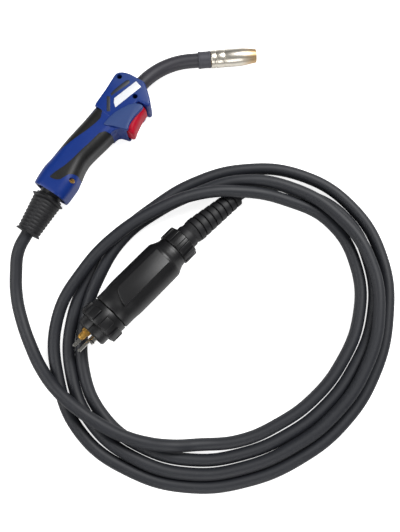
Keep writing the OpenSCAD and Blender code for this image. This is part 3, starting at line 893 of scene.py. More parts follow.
    def rod(self, name: str, at: Point3, axis: Axis, length: float, radius: float,
            sides: int = 32) -> bpy.types.Object:
        """A cylinder that starts at a point and runs along one axis.

        Args:
            name: name of the piece.
            at: middle of its first face.
            axis: direction, towards plus.
            length: its length.
            radius: its radius.
            sides: its number of sides.

        Returns:
            The piece, in its own frame.
        """
        self.clear()
        way = {Axis.X: (1, 0, 0), Axis.Y: (0, 1, 0), Axis.Z: (0, 0, 1)}[axis]
        turn = {Axis.X: (0, math.pi / 2, 0), Axis.Y: (math.pi / 2, 0, 0), Axis.Z: (0, 0, 0)}[axis]
        middle = [(a + w * length / 2) * MM for a, w in zip(at, way)]
        bpy.ops.mesh.primitive_cylinder_add(
            vertices=sides, radius=radius * MM, depth=length * MM, location=middle, rotation=turn)
        o = self.named(name)
        bpy.ops.object.transform_apply(location=True, rotation=True, scale=True)
        return o

    # -- shaping ------------------------------------------------------------

    def carve(self, target: bpy.types.Object, *tools: bpy.types.Object,
              how: str = "DIFFERENCE") -> bpy.types.Object:
        """Boolean of a piece with some tools, which are used up.

        Args:
            target: the piece that stays.
            tools: the pieces cut off, joined on or kept in common.
            how: DIFFERENCE, UNION or INTERSECT.

        Returns:
            The target.
        """
        for tool in tools:
            self.pick(target)
            step = target.modifiers.new("carve", "BOOLEAN")
            step.operation = how
            step.solver = "EXACT"
            step.object = tool
            bpy.ops.object.modifier_apply(modifier=step.name)
            bpy.data.objects.remove(tool)
        return target

    def soften(self, target: bpy.types.Object, width: float, steps: int = 2,
               angle: float = 32.0) -> bpy.types.Object:
        """Rounds the edges that are sharper than an angle.

        Args:
            target: the piece.
            width: width of the rounding.
            steps: faces across it.
            angle: least angle between faces, in degrees.

        Returns:
            The target.
        """
        self.pick(target)
        step = target.modifiers.new("soften", "BEVEL")
        step.width = width * MM
        step.segments = steps
        step.limit_method = "ANGLE"
        step.angle_limit = math.radians(angle)
        step.use_clamp_overlap = True
        bpy.ops.object.modifier_apply(modifier=step.name)
        return target

    def merge(self, first: bpy.types.Object, *others: bpy.types.Object) -> bpy.types.Object:
        """Joins meshes into the first one.

        Args:
            first: the piece that stays.
            others: the pieces joined to it.

        Returns:
            The first piece.
        """
        if others:
            self.pick(first, *others)
            bpy.ops.object.join()
        return first

    def copies(self, source: bpy.types.Object, turns: Iterable[Matrix]) -> list[bpy.types.Object]:
        """Copies of a piece, each with its own mesh, moved by a matrix.

        Args:
            source: the piece to copy, which stays as it is.
            turns: one matrix for each copy.

        Returns:
            The copies.
        """
        made = []
        for matrix in turns:
            copy = source.copy()
            copy.data = source.data.copy()
            bpy.context.scene.collection.objects.link(copy)
            copy.data.transform(matrix)
            made.append(copy)
        return made

    def around(self, source: bpy.types.Object, count: int, start: float = 0.0
               ) -> bpy.types.Object:
        """A ring of copies of a piece about X, joined into one.

        Args:
            source: the piece to copy, which is used up.
            count: number of copies.
            start: turn of the first one, in degrees.

        Returns:
            The joined copies.
        """
        turns = [turned(Axis.X, start + 360.0 * k / count) for k in range(count)]
        made = self.copies(source, turns)
        bpy.data.objects.remove(source)
        return self.merge(made[0], *made[1:])

    def halve(self, target: bpy.types.Object, upper: bool, gap: float = 0.06) -> bpy.types.Object:
        """Cuts a piece at its middle plane and keeps one side, with the cut filled.

        Args:
            target: the piece.
            upper: whether to keep the side with z above 0.
            gap: half of the gap left at the cut.

        Returns:
            The target.
        """
        self.pick(target)
        bpy.ops.object.mode_set(mode="EDIT")
        bpy.ops.mesh.select_all(action="SELECT")
        side = 1.0 if upper else -1.0
        bpy.ops.mesh.bisect(plane_co=(0, 0, side * gap * MM), plane_no=(0, 0, side),
                            use_fill=True, clear_inner=True)
        bpy.ops.object.mode_set(mode="OBJECT")
        return target

    def tidy(self, target: bpy.types.Object, merge_mm: float = 0.004) -> bpy.types.Object:
        """Merges doubles, clears loose bits and turns the faces outwards.

        Args:
            target: the piece.
            merge_mm: distance below which vertices are merged.

        Returns:
            The target.
        """
        self.pick(target)
        bpy.ops.object.mode_set(mode="EDIT")
        bpy.ops.mesh.select_all(action="SELECT")
        bpy.ops.mesh.remove_doubles(threshold=merge_mm * MM)
        bpy.ops.mesh.dissolve_degenerate(threshold=0.001 * MM)
        bpy.ops.mesh.delete_loose()
        bpy.ops.mesh.select_all(action="SELECT")
        bpy.ops.mesh.normals_make_consistent(inside=False)
        bpy.ops.object.mode_set(mode="OBJECT")
        return target

    # -- finishing ----------------------------------------------------------

    def done(self, piece: bpy.types.Object, place: Matrix, body: Body, finish: str,
             stands_for: Sequence[str] = (), slot: str | None = None, angle: float = 35.0
             ) -> bpy.types.Object:
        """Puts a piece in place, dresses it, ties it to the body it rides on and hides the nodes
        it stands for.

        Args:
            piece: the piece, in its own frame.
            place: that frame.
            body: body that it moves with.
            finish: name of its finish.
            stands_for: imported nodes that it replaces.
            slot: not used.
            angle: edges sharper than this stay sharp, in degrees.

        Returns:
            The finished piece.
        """
        piece.data.transform(place)
        self.pick(piece)
        bpy.ops.object.shade_smooth_by_angle(angle=math.radians(angle))
        piece.data.materials.clear()
        piece.data.materials.append(self.palette[finish])
        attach(piece, body.value)
        if stands_for:
            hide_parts(*stands_for)
        self.made.append(piece)
        LOG.info("%s: %d faces on %s", piece.name, len(piece.data.polygons), body.value)
        return piece

    def dress(self, node: bpy.types.Object, finish: str) -> None:
        """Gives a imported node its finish.

        Args:
            node: the node.
            finish: name of its finish.
        """
        node.data.materials.clear()
        node.data.materials.append(self.palette[finish])
        LOG.info("%s: dressed as %s", node.name, finish)


# ---------------------------------------------------------------------------
# Curves and outlines
# ---------------------------------------------------------------------------


def smooth(stations: Sequence[Sequence[float]], steps: int = 4) -> list[tuple[float, ...]]:
    """Points on a smooth curve through some stations.

    Args:
        stations: the points that the curve passes through.
        steps: pieces between one station and the next.

    Returns:
        All points, the stations among them.
    """
    made = []
    last = len(stations) - 1
    for k in range(last):
        p0, p1, p2, p3 = (stations[min(max(k + d, 0), last)] for d in (-1, 0, 1, 2))
        for step in range(steps):
            t = step / steps
            made.append(tuple(
                0.5 * (2 * b + (c - a) * t + (2 * a - 5 * b + 4 * c - d) * t * t
                       + (3 * b - a - 3 * c + d) * t ** 3)
                for a, b, c, d in zip(p0, p1, p2, p3)))
    return [*made, tuple(stations[-1])]


# Half profiles of a rib: place along its width, and share of the depth below its top
ROUNDED_RIB = ((0.0, 0.7), (0.12, 0.3), (0.28, 0.06), (0.5, 0.0), (0.72, 0.06), (0.88, 0.3),
               (1.0, 0.7))
FLAT_RIB = ((0.0, 1.0), (0.02, 0.35), (0.08, 0.05), (0.16, 0.0), (0.84, 0.0), (0.92, 0.05),
            (0.98, 0.35), (1.0, 1.0))


def ribs(start: float, end: float, r_start: float, r_end: float, count: int, depth: float,
         share: float = 0.6, shape: Sequence[Point2] = ROUNDED_RIB) -> list[Point2]:
    """Profile of ribs on a cone.

    Args:
        start: place of the first rib.
        end: place after the last groove.
        r_start: radius over the first rib.
        r_end: radius over the last rib.
        count: number of ribs.
        depth: depth of the grooves.
        share: share of the pitch that a rib takes.
        shape: profile of one rib.

    Returns:
        Points of place and radius.
    """
    pitch = (end - start) / count
    made = []
    for k in range(count):
        x = start + k * pitch
        r = r_start + (r_end - r_start) * k / max(1, count - 1)
        for at, cut in shape:
            made.append((x + at * share * pitch, r - cut * depth))
        made.append((x + (share + 0.06) * pitch, r - depth))
        made.append((x + 0.94 * pitch, r - depth))
    return made


# ---------------------------------------------------------------------------
# Sub-assemblies
# ---------------------------------------------------------------------------


@dataclass
class Handle:
    """Handle shells, rubber pads, label, stripes and trigger, in the handle's frame."""

    bench: Bench
    frame: Matrix = field(default_factory=LAYOUT.handle)
    corner: float = 0.62
    seam: float = 0.22
    pad_rise: float = 0.15
    core_half: float = 13.6
    hollow_half: float = 11.5
    slot_half: float = 13.6
    socket_at: float = 13.0
    socket_radius: float = 16.25
    head_half: float = 16.9
    panel_half: float = 17.8
    guard_half: float = 15.4
    inlay_depth: float = 0.7
    neck_radius: float = 8.06
    pocket_radius: float = 2.9
    pocket_depth: float = 12.0
    pocket_low: float = -31.0
    slot_low: Point2 = (99.9, -50.0)
    slot_high: Point2 = (134.0, -14.0)
    mouth: tuple = ((-2, 17.6), (-0.6, 17.3), (5, 14.4), (5, 14.0))
    pivot_at: Point2 = (127.0, -25.0)
    pivot_radius: float = 1.6
    pivot_half: float = 16.0
    spring_at: Point2 = (118.0, -26.5)
    spring_radius: float = 3.3
    spring_depth: float = 12.5
    # Sections of the grip and head: x, top y, bottom y and half width
    sections: tuple = (
        (0, 18.6, -18.8, 18.0), (1.2, 19.0, -19.3, 18.4), (4, 19.3, -19.6, 18.7),
        (10, 19.7, -19.9, 18.8), (20, 19.9, -20.1, 18.8), (30, 18.6, -18.4, 18.2),
        (40, 17.6, -16.4, 17.6), (50, 16.9, -15.8, 17.2), (62, 15.8, -17.8, 17.0),
        (74, 14.2, -20.4, 16.9), (86, 12.5, -22.7, 16.8), (96, 11.5, -24.6, 16.7),
        (104, 10.7, -26.5, 16.6), (110, 9.0, -26.5, 15.6), (116, 7.0, -25.5, 14.0),
    )
    # Outlines seen from the side: x and y of each corner
    head: tuple = (
        (101, -24), (104.2, 7.6), (104.6, 9.0), (105.8, 10.1), (109, 10.9), (127, 10.7),
        (140, 11.2), (146.4, 11.5), (149.6, 10.9), (152.0, 9.3), (154.1, 6.4), (155.9, 2.2),
        (156.9, -2.6), (157.2, -8), (157.2, -14), (157.4, -18.6), (157.0, -20.7),
        (155.6, -22.9), (150.7, -28.9), (145.0, -35.4), (141.8, -38.4), (139.4, -40.0),
        (137.6, -40.3), (136.2, -39.8), (135.4, -38.4), (134.8, -36.0), (134.6, -27),
    )
    guard: tuple = (
        (90, -14), (84, -20.8), (88, -22.0), (91.4, -22.5), (94.8, -23.9), (97.0, -26.6),
        (98.8, -30.2), (100.8, -34.6), (102.3, -37.6), (103.6, -38.6), (104.8, -37.6),
        (105.4, -34), (105.4, -16),
    )
    panel: tuple = (
        (92.4, -9.8), (101.3, -10.8), (110.5, -13.1), (117.8, -16.6), (125.9, -21.2),
        (130.8, -26.2), (132.9, -31.4), (132.9, -34.2), (131.4, -35.9), (128.6, -35.9),
        (125.6, -35.2), (118.7, -33.9), (111.6, -33.6), (106.2, -34.0), (102.6, -35.5),
        (101.2, -36.0), (99.7, -34.3), (99.1, -31.4), (98.0, -27.2), (95.5, -19.7),
        (92.2, -12.4),
    )
    label: tuple = (
        (123.5, -3.6), (152.8, -13.0), (150.1, -21.3), (115.1, -10.6), (119.2, -5.9),
    )
    long_stripe: tuple = (
        (149.8, -5.6), (147.5, -3.2), (139.0, -0.3), (131.0, 2.0), (125.4, 2.6),
        (124.1, 0.3), (132.3, -2.4), (143.8, -7.2), (148.2, -8.0),
    )
    short_stripe: tuple = ((121.3, 4.8), (122.8, 1.1), (108.4, -8.4), (106.3, -5.0))
    front_pad: tuple = (
        (88.4, -50), (88.4, -29), (88.1, -22), (86.8, -15.8), (81.7, -11.9), (75.3, -10.6),
        (65, -8.6), (57, -6.5), (43, -4.0), (31.4, -1.2), (20.5, 2.9), (13.6, 4.9),
        (12.4, 4.2), (12.6, 0.8), (13.9, -3.3), (16.4, -6.5), (20.9, -8.5), (25.4, -10.3),
        (28.1, -13.3), (29.7, -17.1), (30.4, -22), (30.4, -50),
    )
    back_pad: tuple = (
        (105.4, 30), (105.4, 4), (104.6, -0.5), (97, -3.5), (90, -2.4), (78.4, 1.0),
        (61, 7.6), (44.5, 13.6), (38, 16.6), (35, 30),
    )
    core: tuple = (
        (8, 16), (8, -17), (28, -15.2), (50, -12.6), (62, -14.6), (84, -19.2), (96, -21.4),
        (112, -20), (112, 7.8), (84, 9.5), (62, 12.7), (50, 13.7), (28, 15.6),
    )
    hollow: tuple = (
        (22, 10), (22, -9.6), (50, -9.8), (84, -15.5), (98, -17), (134, -18), (144, -14),
        (144, -2), (138, 7), (104, 5.9), (84, 6.3), (50, 9.5),
    )
    # Sections of the trigger: x, top y, bottom y and half width
    trigger: tuple = (
        (101.5, -30, -39.6, 9.4), (101.8, -27, -41.0, 10.6), (102.8, -25, -41.9, 11.6),
        (104.6, -24.2, -41.8, 12.4), (107.6, -23.6, -40.9, 12.9), (111.4, -23.6, -39.9, 13.0),
        (116, -24.4, -39.2, 13.0), (121, -24.6, -38.5, 13.0), (126, -24.6, -38.3, 13.0),
        (130, -24.8, -38.4, 13.0), (132.2, -25.6, -38.3, 12.9), (133.1, -27, -38.0, 12.6),
        (133.4, -29, -37.0, 12.0),
    )
    # Screws: x, y and the height of the head's seat
    screws: tuple = ((22, -16.2, 11.5), (147.6, 5.4, 8), (137.4, -21.6, 8))
    # Half height of the solids that cut right through
    wide: float = 60.0

    def build(self) -> None:
        """Builds all the handle's pieces."""
        self._shells()
        self._pads()
        self._inlays()
        self._trigger()

    def _body(self, rise: float = 0.0) -> bpy.types.Object:
        """The grip's and head's rounded body, a little larger by a rise."""
        grown = [(x, top + rise, low - rise, half + rise) for x, top, low, half in self.sections]
        return self.bench.loft("body", smooth(grown), self.corner, 9)

    def _pad_zone(self, clearance: float) -> bpy.types.Object:
        """Everything that is pad: inside the side outlines and outside the core.

        Args:
            clearance: how far the zone is shrunk on all sides.

        Returns:
            The zone as a solid.
        """
        b = self.bench
        zone = b.prism("zone", self.front_pad, -self.wide, self.wide)
        b.carve(zone, b.prism("back", self.back_pad, -self.wide, self.wide), how="UNION")
        b.carve(zone, b.prism("core", self.core, -self.core_half - clearance,
                              self.core_half + clearance))
        return zone

    def _shells(self) -> None:
        """Right and left shell, with head, panel, flange and all pockets."""
        b = self.bench
        body = self._body()
        raised = [b.soften(b.prism(name, outline, -half, half), edge, steps, 60)
                  for name, outline, half, edge, steps in (
                      ("head", self.head, self.head_half, 3.4, 4),
                      ("guard", self.guard, self.guard_half, 2.0, 3),
                      ("panel", self.panel, self.panel_half, 1.2, 3))]
        b.carve(body, *raised, how="UNION")
        b.carve(
            body,
            self._pad_zone(0.0),
            b.prism("hollow", self.hollow, -self.hollow_half, self.hollow_half),
            b.block("slot", (*self.slot_low, -self.slot_half), (*self.slot_high, self.slot_half)),
            b.turning("mouth", self.mouth),
            self._socket(),
            self._neck_bore(),
        )
        for x, y, seat in self.screws:
            b.carve(body, *(b.rod("pocket", (x, y, z), Axis.Z, self.pocket_depth,
                                  self.pocket_radius) for z in (seat, self.pocket_low)))
        for outline in (self.label, self.long_stripe, self.short_stripe):
            depth = self.head_half - self.inlay_depth
            b.carve(body, b.prism("recess", outline, depth, self.wide),
                    b.prism("recess", outline, -self.wide, -depth))
        other = b.copies(body, [Matrix()])[0]
        for piece, upper, name in ((body, True, "handle_right"), (other, False, "handle_left")):
            b.halve(piece, upper)
            piece.name = name + "_look"
            b.done(piece, self.frame, Body.HANDLE, "blue_plastic",
                   ["handle_shell_right" if upper else "handle_shell_left"])

    def _socket(self) -> bpy.types.Object:
        """The ball's socket.

        Returns:
            The socket as a solid to cut away.
        """
        self.bench.clear()
        bpy.ops.mesh.primitive_uv_sphere_add(
            segments=48, ring_count=24, radius=self.socket_radius * MM,
            location=(self.socket_at * MM, 0, 0))
        return bpy.context.active_object

    def _neck_bore(self) -> bpy.types.Object:
        """The hole that the neck comes out of.

        Returns:
            The hole as a solid to cut away.
        """
        bore = self.bench.rod("bore", (20, 0, 0), Axis.X, 80, self.neck_radius, 64)
        bore.data.transform(self.frame.inverted() @ LAYOUT.neck())
        return bore

    def _pads(self) -> None:
        """Rubber pads of both sides."""
        b = self.bench
        pad = self._body(self.pad_rise)
        b.carve(pad, self._pad_zone(self.seam), how="INTERSECT")
        b.carve(pad, self._socket())
        other = b.copies(pad, [Matrix()])[0]
        for piece, upper, name in ((pad, True, "pad_right"), (other, False, "pad_left")):
            b.halve(piece, upper)
            piece.name = name + "_look"
            b.done(piece, self.frame, Body.HANDLE, "soft_rubber",
                   ["grip_pad_right" if upper else "grip_pad_left"])

    def _inlays(self) -> None:
        """Label plates and stripes on both sides."""
        b = self.bench
        low = self.head_half - self.inlay_depth - 0.2
        for name, outlines, rise, finish in (
            ("label", (self.label,), 0.1, "white_label"),
            ("stripes", (self.long_stripe, self.short_stripe), -0.1, "grey_stripe"),
        ):
            made = []
            for outline in outlines:
                plate = b.prism(name, outline, low, self.head_half + rise)
                b.soften(plate, 0.3, 2, 50)
                made += b.copies(plate, [Matrix(), Matrix.Scale(-1, 4, (0, 0, 1))])
                bpy.data.objects.remove(plate)
            piece = b.tidy(b.merge(made[0], *made[1:]))
            piece.name = name + "_look"
            b.done(piece, self.frame, Body.HANDLE, finish,
                   ["label_plates" if name == "label" else "head_stripes"])

    def _trigger(self) -> None:
        """Trigger with a hollowed front, rounded where the finger lies."""
        b = self.bench
        piece = b.loft("trigger_look", smooth(self.trigger, 3), 0.66, 7)
        pivot = b.rod("pivot", (*self.pivot_at, -self.pivot_half), Axis.Z, 2 * self.pivot_half,
                      self.pivot_radius)
        spring = b.rod("spring_hole", (*self.spring_at, 0), Axis.Y, self.spring_depth,
                       self.spring_radius)
        b.carve(piece, pivot, spring)
        b.done(piece, self.frame, Body.TRIGGER, "red_plastic", ["trigger"])


@dataclass
class SwanNeck:
    """Insulated neck, collar and gas nozzle."""

    bench: Bench
    jacket_start: float = 16.0
    jacket_radius: float = 8.0
    collar_radius: float = 9.4
    nozzle_radius: float = 9.7
    bore_radius: float = 8.0
    mouth_radius: float = 7.6
    mouth_bore: float = 6.4
    nozzle_length: float = 51.0
    groove_depth: float = 0.55
    grooves: Point2 = (4.6, 14.3)
    bend_steps: int = 28

    def build(self) -> None:
        """Builds neck, collar and nozzle."""
        self._jacket()
        self._collar()
        self._nozzle()

    def _jacket(self) -> None:
        """Bent sleeve: a ring pushed straight, spun round the bend and pushed on."""
        b = self.bench
        at = LAYOUT
        b.clear()
        bpy.ops.mesh.primitive_circle_add(
            vertices=64, radius=self.jacket_radius * MM,
            location=(self.jacket_start * MM, 0, 0), rotation=(0, math.pi / 2, 0))
        piece = b.named("neck_jacket_look")
        bpy.ops.object.transform_apply(location=True, rotation=True, scale=True)
        bpy.ops.object.mode_set(mode="EDIT")
        bpy.ops.mesh.select_all(action="SELECT")
        push = {"value": ((at.neck_in - self.jacket_start) * MM, 0, 0)}
        bpy.ops.mesh.extrude_region_move(TRANSFORM_OT_translate=push)
        hub = Vector((at.neck_in * MM, -at.neck_radius * MM, 0))
        for k in range(self.bend_steps):
            before = math.radians(at.neck_bend * k / self.bend_steps)
            after = math.radians(at.neck_bend * (k + 1) / self.bend_steps)
            radius = at.neck_radius * MM
            step = (radius * (math.sin(after) - math.sin(before)),
                    radius * (math.cos(after) - math.cos(before)), 0)
            bpy.ops.mesh.extrude_region_move(TRANSFORM_OT_translate={"value": step})
            middle = hub + Vector((radius * math.sin(after), radius * math.cos(after), 0))
            bpy.ops.transform.rotate(value=after - before, orient_axis="Z",
                                     center_override=middle)
        out = turned(Axis.Z, -at.neck_bend) @ Vector((at.neck_out * MM, 0, 0))
        bpy.ops.mesh.extrude_region_move(TRANSFORM_OT_translate={"value": out})
        b.finish_rings(False, (True, True))
        b.tidy(piece)
        b.done(piece, at.neck(), Body.HANDLE, "neck_coating", ["neck_jacket"])

    def _collar(self) -> None:
        """Insulating collar with a lip at each end."""
        r, length = self.collar_radius, LAYOUT.collar_length - 0.4
        profile = [
            (0, 7.1), (0, r - 0.7), (0.25, r - 0.25), (0.8, r), (2.6, r), (2.9, r - 0.25),
            (length - 2.4, r - 0.25), (length - 2.1, r), (length - 0.5, r), (length, r - 0.4),
            (length, 7.1), (length - 2, 7.1), (2, 7.1),
        ]
        piece = self.bench.turning("collar_look", profile, 72, closed=True)
        self.bench.done(piece, LAYOUT.nozzle(), Body.HANDLE, "collar_plastic", ["neck_collar"],
                        slot="black_plastic", angle=28)

    def _nozzle(self) -> None:
        """Gas nozzle: two grooves, a long taper, a rolled mouth and its bore."""
        r, deep, end = self.nozzle_radius, self.groove_depth, self.nozzle_length
        profile: list[Point2] = [(0, self.bore_radius), (0, r - 0.6), (0.2, r - 0.2), (0.6, r)]
        for x in self.grooves:
            profile += [(x, r), (x + 0.3, r - 0.1), (x + 0.5, r - deep),
                        (x + 1.4, r - deep), (x + 1.6, r - 0.1), (x + 1.9, r)]
        profile += smooth([(28, r), (34, r - 0.15), (38, r - 0.5), (42, r - 1.0), (46, r - 1.6),
                           (end - 1.2, self.mouth_radius)], 4)
        profile += [(end - 0.5, self.mouth_radius - 0.1), (end - 0.1, self.mouth_radius - 0.4),
                    (end, self.mouth_radius - 0.7), (end - 0.2, self.mouth_bore + 0.1),
                    (end - 0.6, self.mouth_bore), (end - 4, self.mouth_bore),
                    (end - 18, self.bore_radius)]
        piece = self.bench.turning("nozzle_look", profile, 96, closed=True)
        place = LAYOUT.nozzle() @ moved(LAYOUT.collar_length, 0, 0)
        self.bench.done(piece, place, Body.NOZZLE, "nickel_plate", ["gas_nozzle"],
                        slot="nickel", angle=24)


@dataclass
class RearBoot:
    """Ball sleeve and ribbed strain relief behind the handle."""

    bench: Bench
    frame: Matrix = field(default_factory=LAYOUT.rear_boot)
    bore: float = 6.9
    ball_at: float = 13.0
    ball_radius: float = 16.0
    rim_radius: float = 18.0
    root_radius: float = 15.6
    tail_radius: float = 12.7
    lip_radius: float = 13.9
    start: float = 6.8
    end: float = 49.5
    rib_count: int = 9

    def build(self) -> None:
        """Builds sleeve and boot."""
        self._sleeve()
        self._boot()

    def _sleeve(self) -> None:
        """Ball and neck of the swivel, with the collar that the boot hangs on."""
        ball = [(self.ball_at + self.ball_radius * math.sin(math.radians(a)),
                 self.ball_radius * math.cos(math.radians(a))) for a in range(-34, 34, 6)]
        profile = [(-7.9, self.bore), (-7.9, 14.1), (-7.5, 14.5), (-4.4, 14.5), (-4, 14.1),
                   (-4, 12.2), (2.6, 12.2), (4.0, 12.9), *ball, (22, 12.6), (22, self.bore),
                   (12, self.bore), (0, self.bore)]
        piece = self.bench.turning("ball_sleeve_look", profile, 72, closed=True)
        self.bench.done(piece, self.frame, Body.LEAD, "black_plastic", ["ball_sleeve"], angle=28)

    def _boot(self) -> None:
        """Flared rim, a cone of fine ribs and a lip round the cable."""
        body = ribs(self.start + 3.2, self.end - 2.6, self.root_radius, self.tail_radius,
                    self.rib_count, 0.75, 0.8)
        profile = [
            (self.start + 0.4, self.bore + 0.4), (self.start, self.bore + 1), (self.start, 16.9),
            (self.start + 0.3, 17.6), (self.start + 0.7, self.rim_radius),
            (self.start + 1.3, self.rim_radius - 0.1), (self.start + 1.8, 17.2),
            (self.start + 2.5, 16.0), *body,
            (self.end - 2.4, self.tail_radius - 0.5), (self.end - 1.2, self.lip_radius - 0.3),
            (self.end - 0.6, self.lip_radius), (self.end - 0.1, self.lip_radius - 0.4),
            (self.end, self.lip_radius - 1.0), (self.end, self.bore + 0.8),
            (self.end - 0.8, self.bore + 0.1), (self.end - 2, self.bore),
            (self.start + 8, self.bore),
        ]
        backwards = [(-x, r) for x, r in profile]
        piece = self.bench.turning("rear_boot_look", backwards, 80, closed=True)
        self.bench.done(piece, self.frame, Body.LEAD, "boot_rubber", ["rear_boot"], angle=40)


@dataclass
class Connector:
    """Housing halves, nuts, insulating nose and boot of the multi-pole connector."""

    bench: Bench
    frame: Matrix = field(default_factory=LAYOUT.plug)
    housing_radius: float = 22.4
    front_radius: float = 21.5
    spigot_radius: float = 15.5
    inner_radius: float = 19.7
    panel_height: float = 23.8
    screws_along: Point2 = (40.0, 86.0)
    screw_side: float = 16.2
    nut_radius: float = 21.3
    nut_pads: int = 8
    nut_front: float = -4.6
    lobe_radius: float = 23.3
    nose_radius: float = 17.3
    gland_radius: float = 17.7
    gland_rib_radius: float = 19.2
    gland_ribs: int = 12
    boot_root: float = 13.2
    boot_bore: float = 6.9
    # Holes of the nose: y, z and radius
    pin_holes: tuple = ((3, 5, 5.05), (-8, 4, 2.65), (3.5, -4.5, 2.05), (-3.6, -6, 2.05))
    panel: tuple = (
        (29.2, -9.6), (28.9, -6.4), (30.6, -1.4), (32.6, 3.2), (34.6, 6.8), (36.6, 8.8),
        (39.2, 9.6), (92.4, 9.6), (92.8, 9.2), (92.8, -9.6),
    )

    def build(self) -> None:
        """Builds the connector from nose to boot."""
        self._housing()
        self._nut()
        self._nose()
        self._gland_nut()
        self._boot()

    def _housing(self) -> None:
        """Barrel with a waist, shoulder and spigot, split into upper and lower half."""
        b = self.bench
        r, front = self.housing_radius, self.front_radius
        outside = [
            (16.3, front - 1.0), (16.6, front - 0.3), (17.2, front), (26, front),
            *smooth([(29, front + 0.1), (33, front + 0.45), (38, r - 0.05), (46, r)], 4),
            (88, r), *smooth([(93, r - 0.1), (95.4, r - 0.6), (98.4, r - 2.2), (102.2, 18.6),
                              (104.4, 17.9), (106.6, 17.7)], 4),
            (107.5, 17.6), (108, 17.2), (108, self.spigot_radius), (118.6, self.spigot_radius),
            (119, self.spigot_radius - 0.4), (119, 9.6), (103, 9.6), (94, self.inner_radius),
            (30, self.inner_radius), (22, self.inner_radius - 1), (22, 17.4), (16.3, 17.4),
        ]
        barrel = b.turning("barrel", outside, 96, closed=True)
        panel = b.prism("panel", self.panel, 12, self.panel_height)
        b.soften(panel, 0.55, 3, 50)
        b.carve(barrel, panel, how="UNION")
        for u in self.screws_along:
            for w in (-self.screw_side, self.screw_side):
                b.carve(barrel, b.rod("pocket", (u, w, -26), Axis.Z, 20, 2.2, 24))
        other = b.copies(barrel, [Matrix()])[0]
        for piece, upper in ((barrel, True), (other, False)):
            b.halve(piece, upper, 0.05)
            name = "housing_upper" if upper else "housing_lower"
            piece.name = name + "_look"
            b.done(piece, self.frame, Body.LEAD, "black_plastic", [name])

    def _nut(self) -> None:
        """Connection nut with raised pads."""
        b = self.bench
        r = self.nut_radius
        front = self.nut_front
        ring = b.turning("nut_look", [
            (front, 19.4), (front, r - 1.2), (front + 0.35, r - 0.4), (front + 1.2, r),
            (14.5, r), (15.2, r - 0.3), (15.5, r - 0.9), (15.5, 17.6), (11, 17.6),
            (11, 19.4)], 96, closed=True)
        pad = b.block("pad", (front + 1.1, -4.9, r - 2), (9.4, 4.9, self.lobe_radius))
        b.soften(pad, 0.9, 3)
        b.carve(ring, b.around(pad, self.nut_pads, 180.0 / self.nut_pads), how="UNION")
        b.done(ring, self.frame, Body.CONNECTION_NUT, "black_plastic", ["connection_nut"])

    def _nose(self) -> None:
        """Insulating nose with the openings for its pins."""
        b = self.bench
        r = self.nose_radius
        nose = b.turning("nose_look", [
            (-14, 1), (-14, r - 2.0), (-13.6, r - 1.2), (-12.9, r - 0.5), (-12, r), (7.5, r),
            (7.6, 18.4), (10.6, 18.4), (10.7, r), (21, r), (21, 1)], 80)
        for y, z, radius in self.pin_holes:
            b.carve(nose, b.rod("hole", (-15, y, z), Axis.X, 37, radius, 40))
        b.carve(nose, b.block("key", (-14.5, -1.6, r - 1.6), (-3, 1.6, r + 1)))
        b.done(nose, self.frame, Body.LEAD, "black_plastic", ["front_insulator"])

    def _gland_nut(self) -> None:
        """Gland nut with ribs."""
        b = self.bench
        r = self.gland_radius
        ring = b.turning("gland_nut_look", [
            (108.4, 15.7), (108.4, r - 0.8), (108.8, r - 0.2), (109.4, r), (124, r),
            (124.9, r - 0.5), (125.5, r - 1.6), (125.5, 13.6), (121.4, 13.6), (121.4, 15.7)],
            96, closed=True)
        rib = b.block("rib", (109.0, -2.9, r - 2), (124.4, 2.9, self.gland_rib_radius))
        b.soften(rib, 0.6, 3)
        b.carve(ring, b.around(rib, self.gland_ribs), how="UNION")
        b.done(ring, self.frame, Body.GLAND_NUT, "black_plastic", ["gland_nut"])

    def _boot(self) -> None:
        """Strain relief: a sleeve in the gland nut, then thick flat-topped ribs that narrow."""
        b = self.bench
        bore = self.boot_bore
        sleeve = b.turning("sleeve", [
            (119.5, 8), (119.5, 15.2), (120.9, 15.2), (121, self.boot_root),
            (LAYOUT.knuckle - 1, self.boot_root), (LAYOUT.knuckle + 0.5, self.boot_root - 0.8),
            (LAYOUT.knuckle + 0.5, 8)], 72, closed=True)
        thick = ribs(7.4, 70, 13.4, 10.0, 8, 1.9, 0.84, FLAT_RIB)
        tail = b.turning("tail", [
            (-3, bore + 0.1), (-3, 11.8), (3.2, 12.2), (4.4, 12.8), (6.6, 13.1), *thick,
            (70, bore + 0.6), (69, bore + 0.1), (40, bore + 0.1)], 72, closed=True)
        tail.data.transform(self.frame.inverted() @ LAYOUT.plug_boot())
        b.carve(sleeve, tail, how="UNION")
        sleeve.name = "connector_boot_look"
        b.done(sleeve, self.frame, Body.LEAD, "boot_rubber", ["connector_boot"], angle=40)


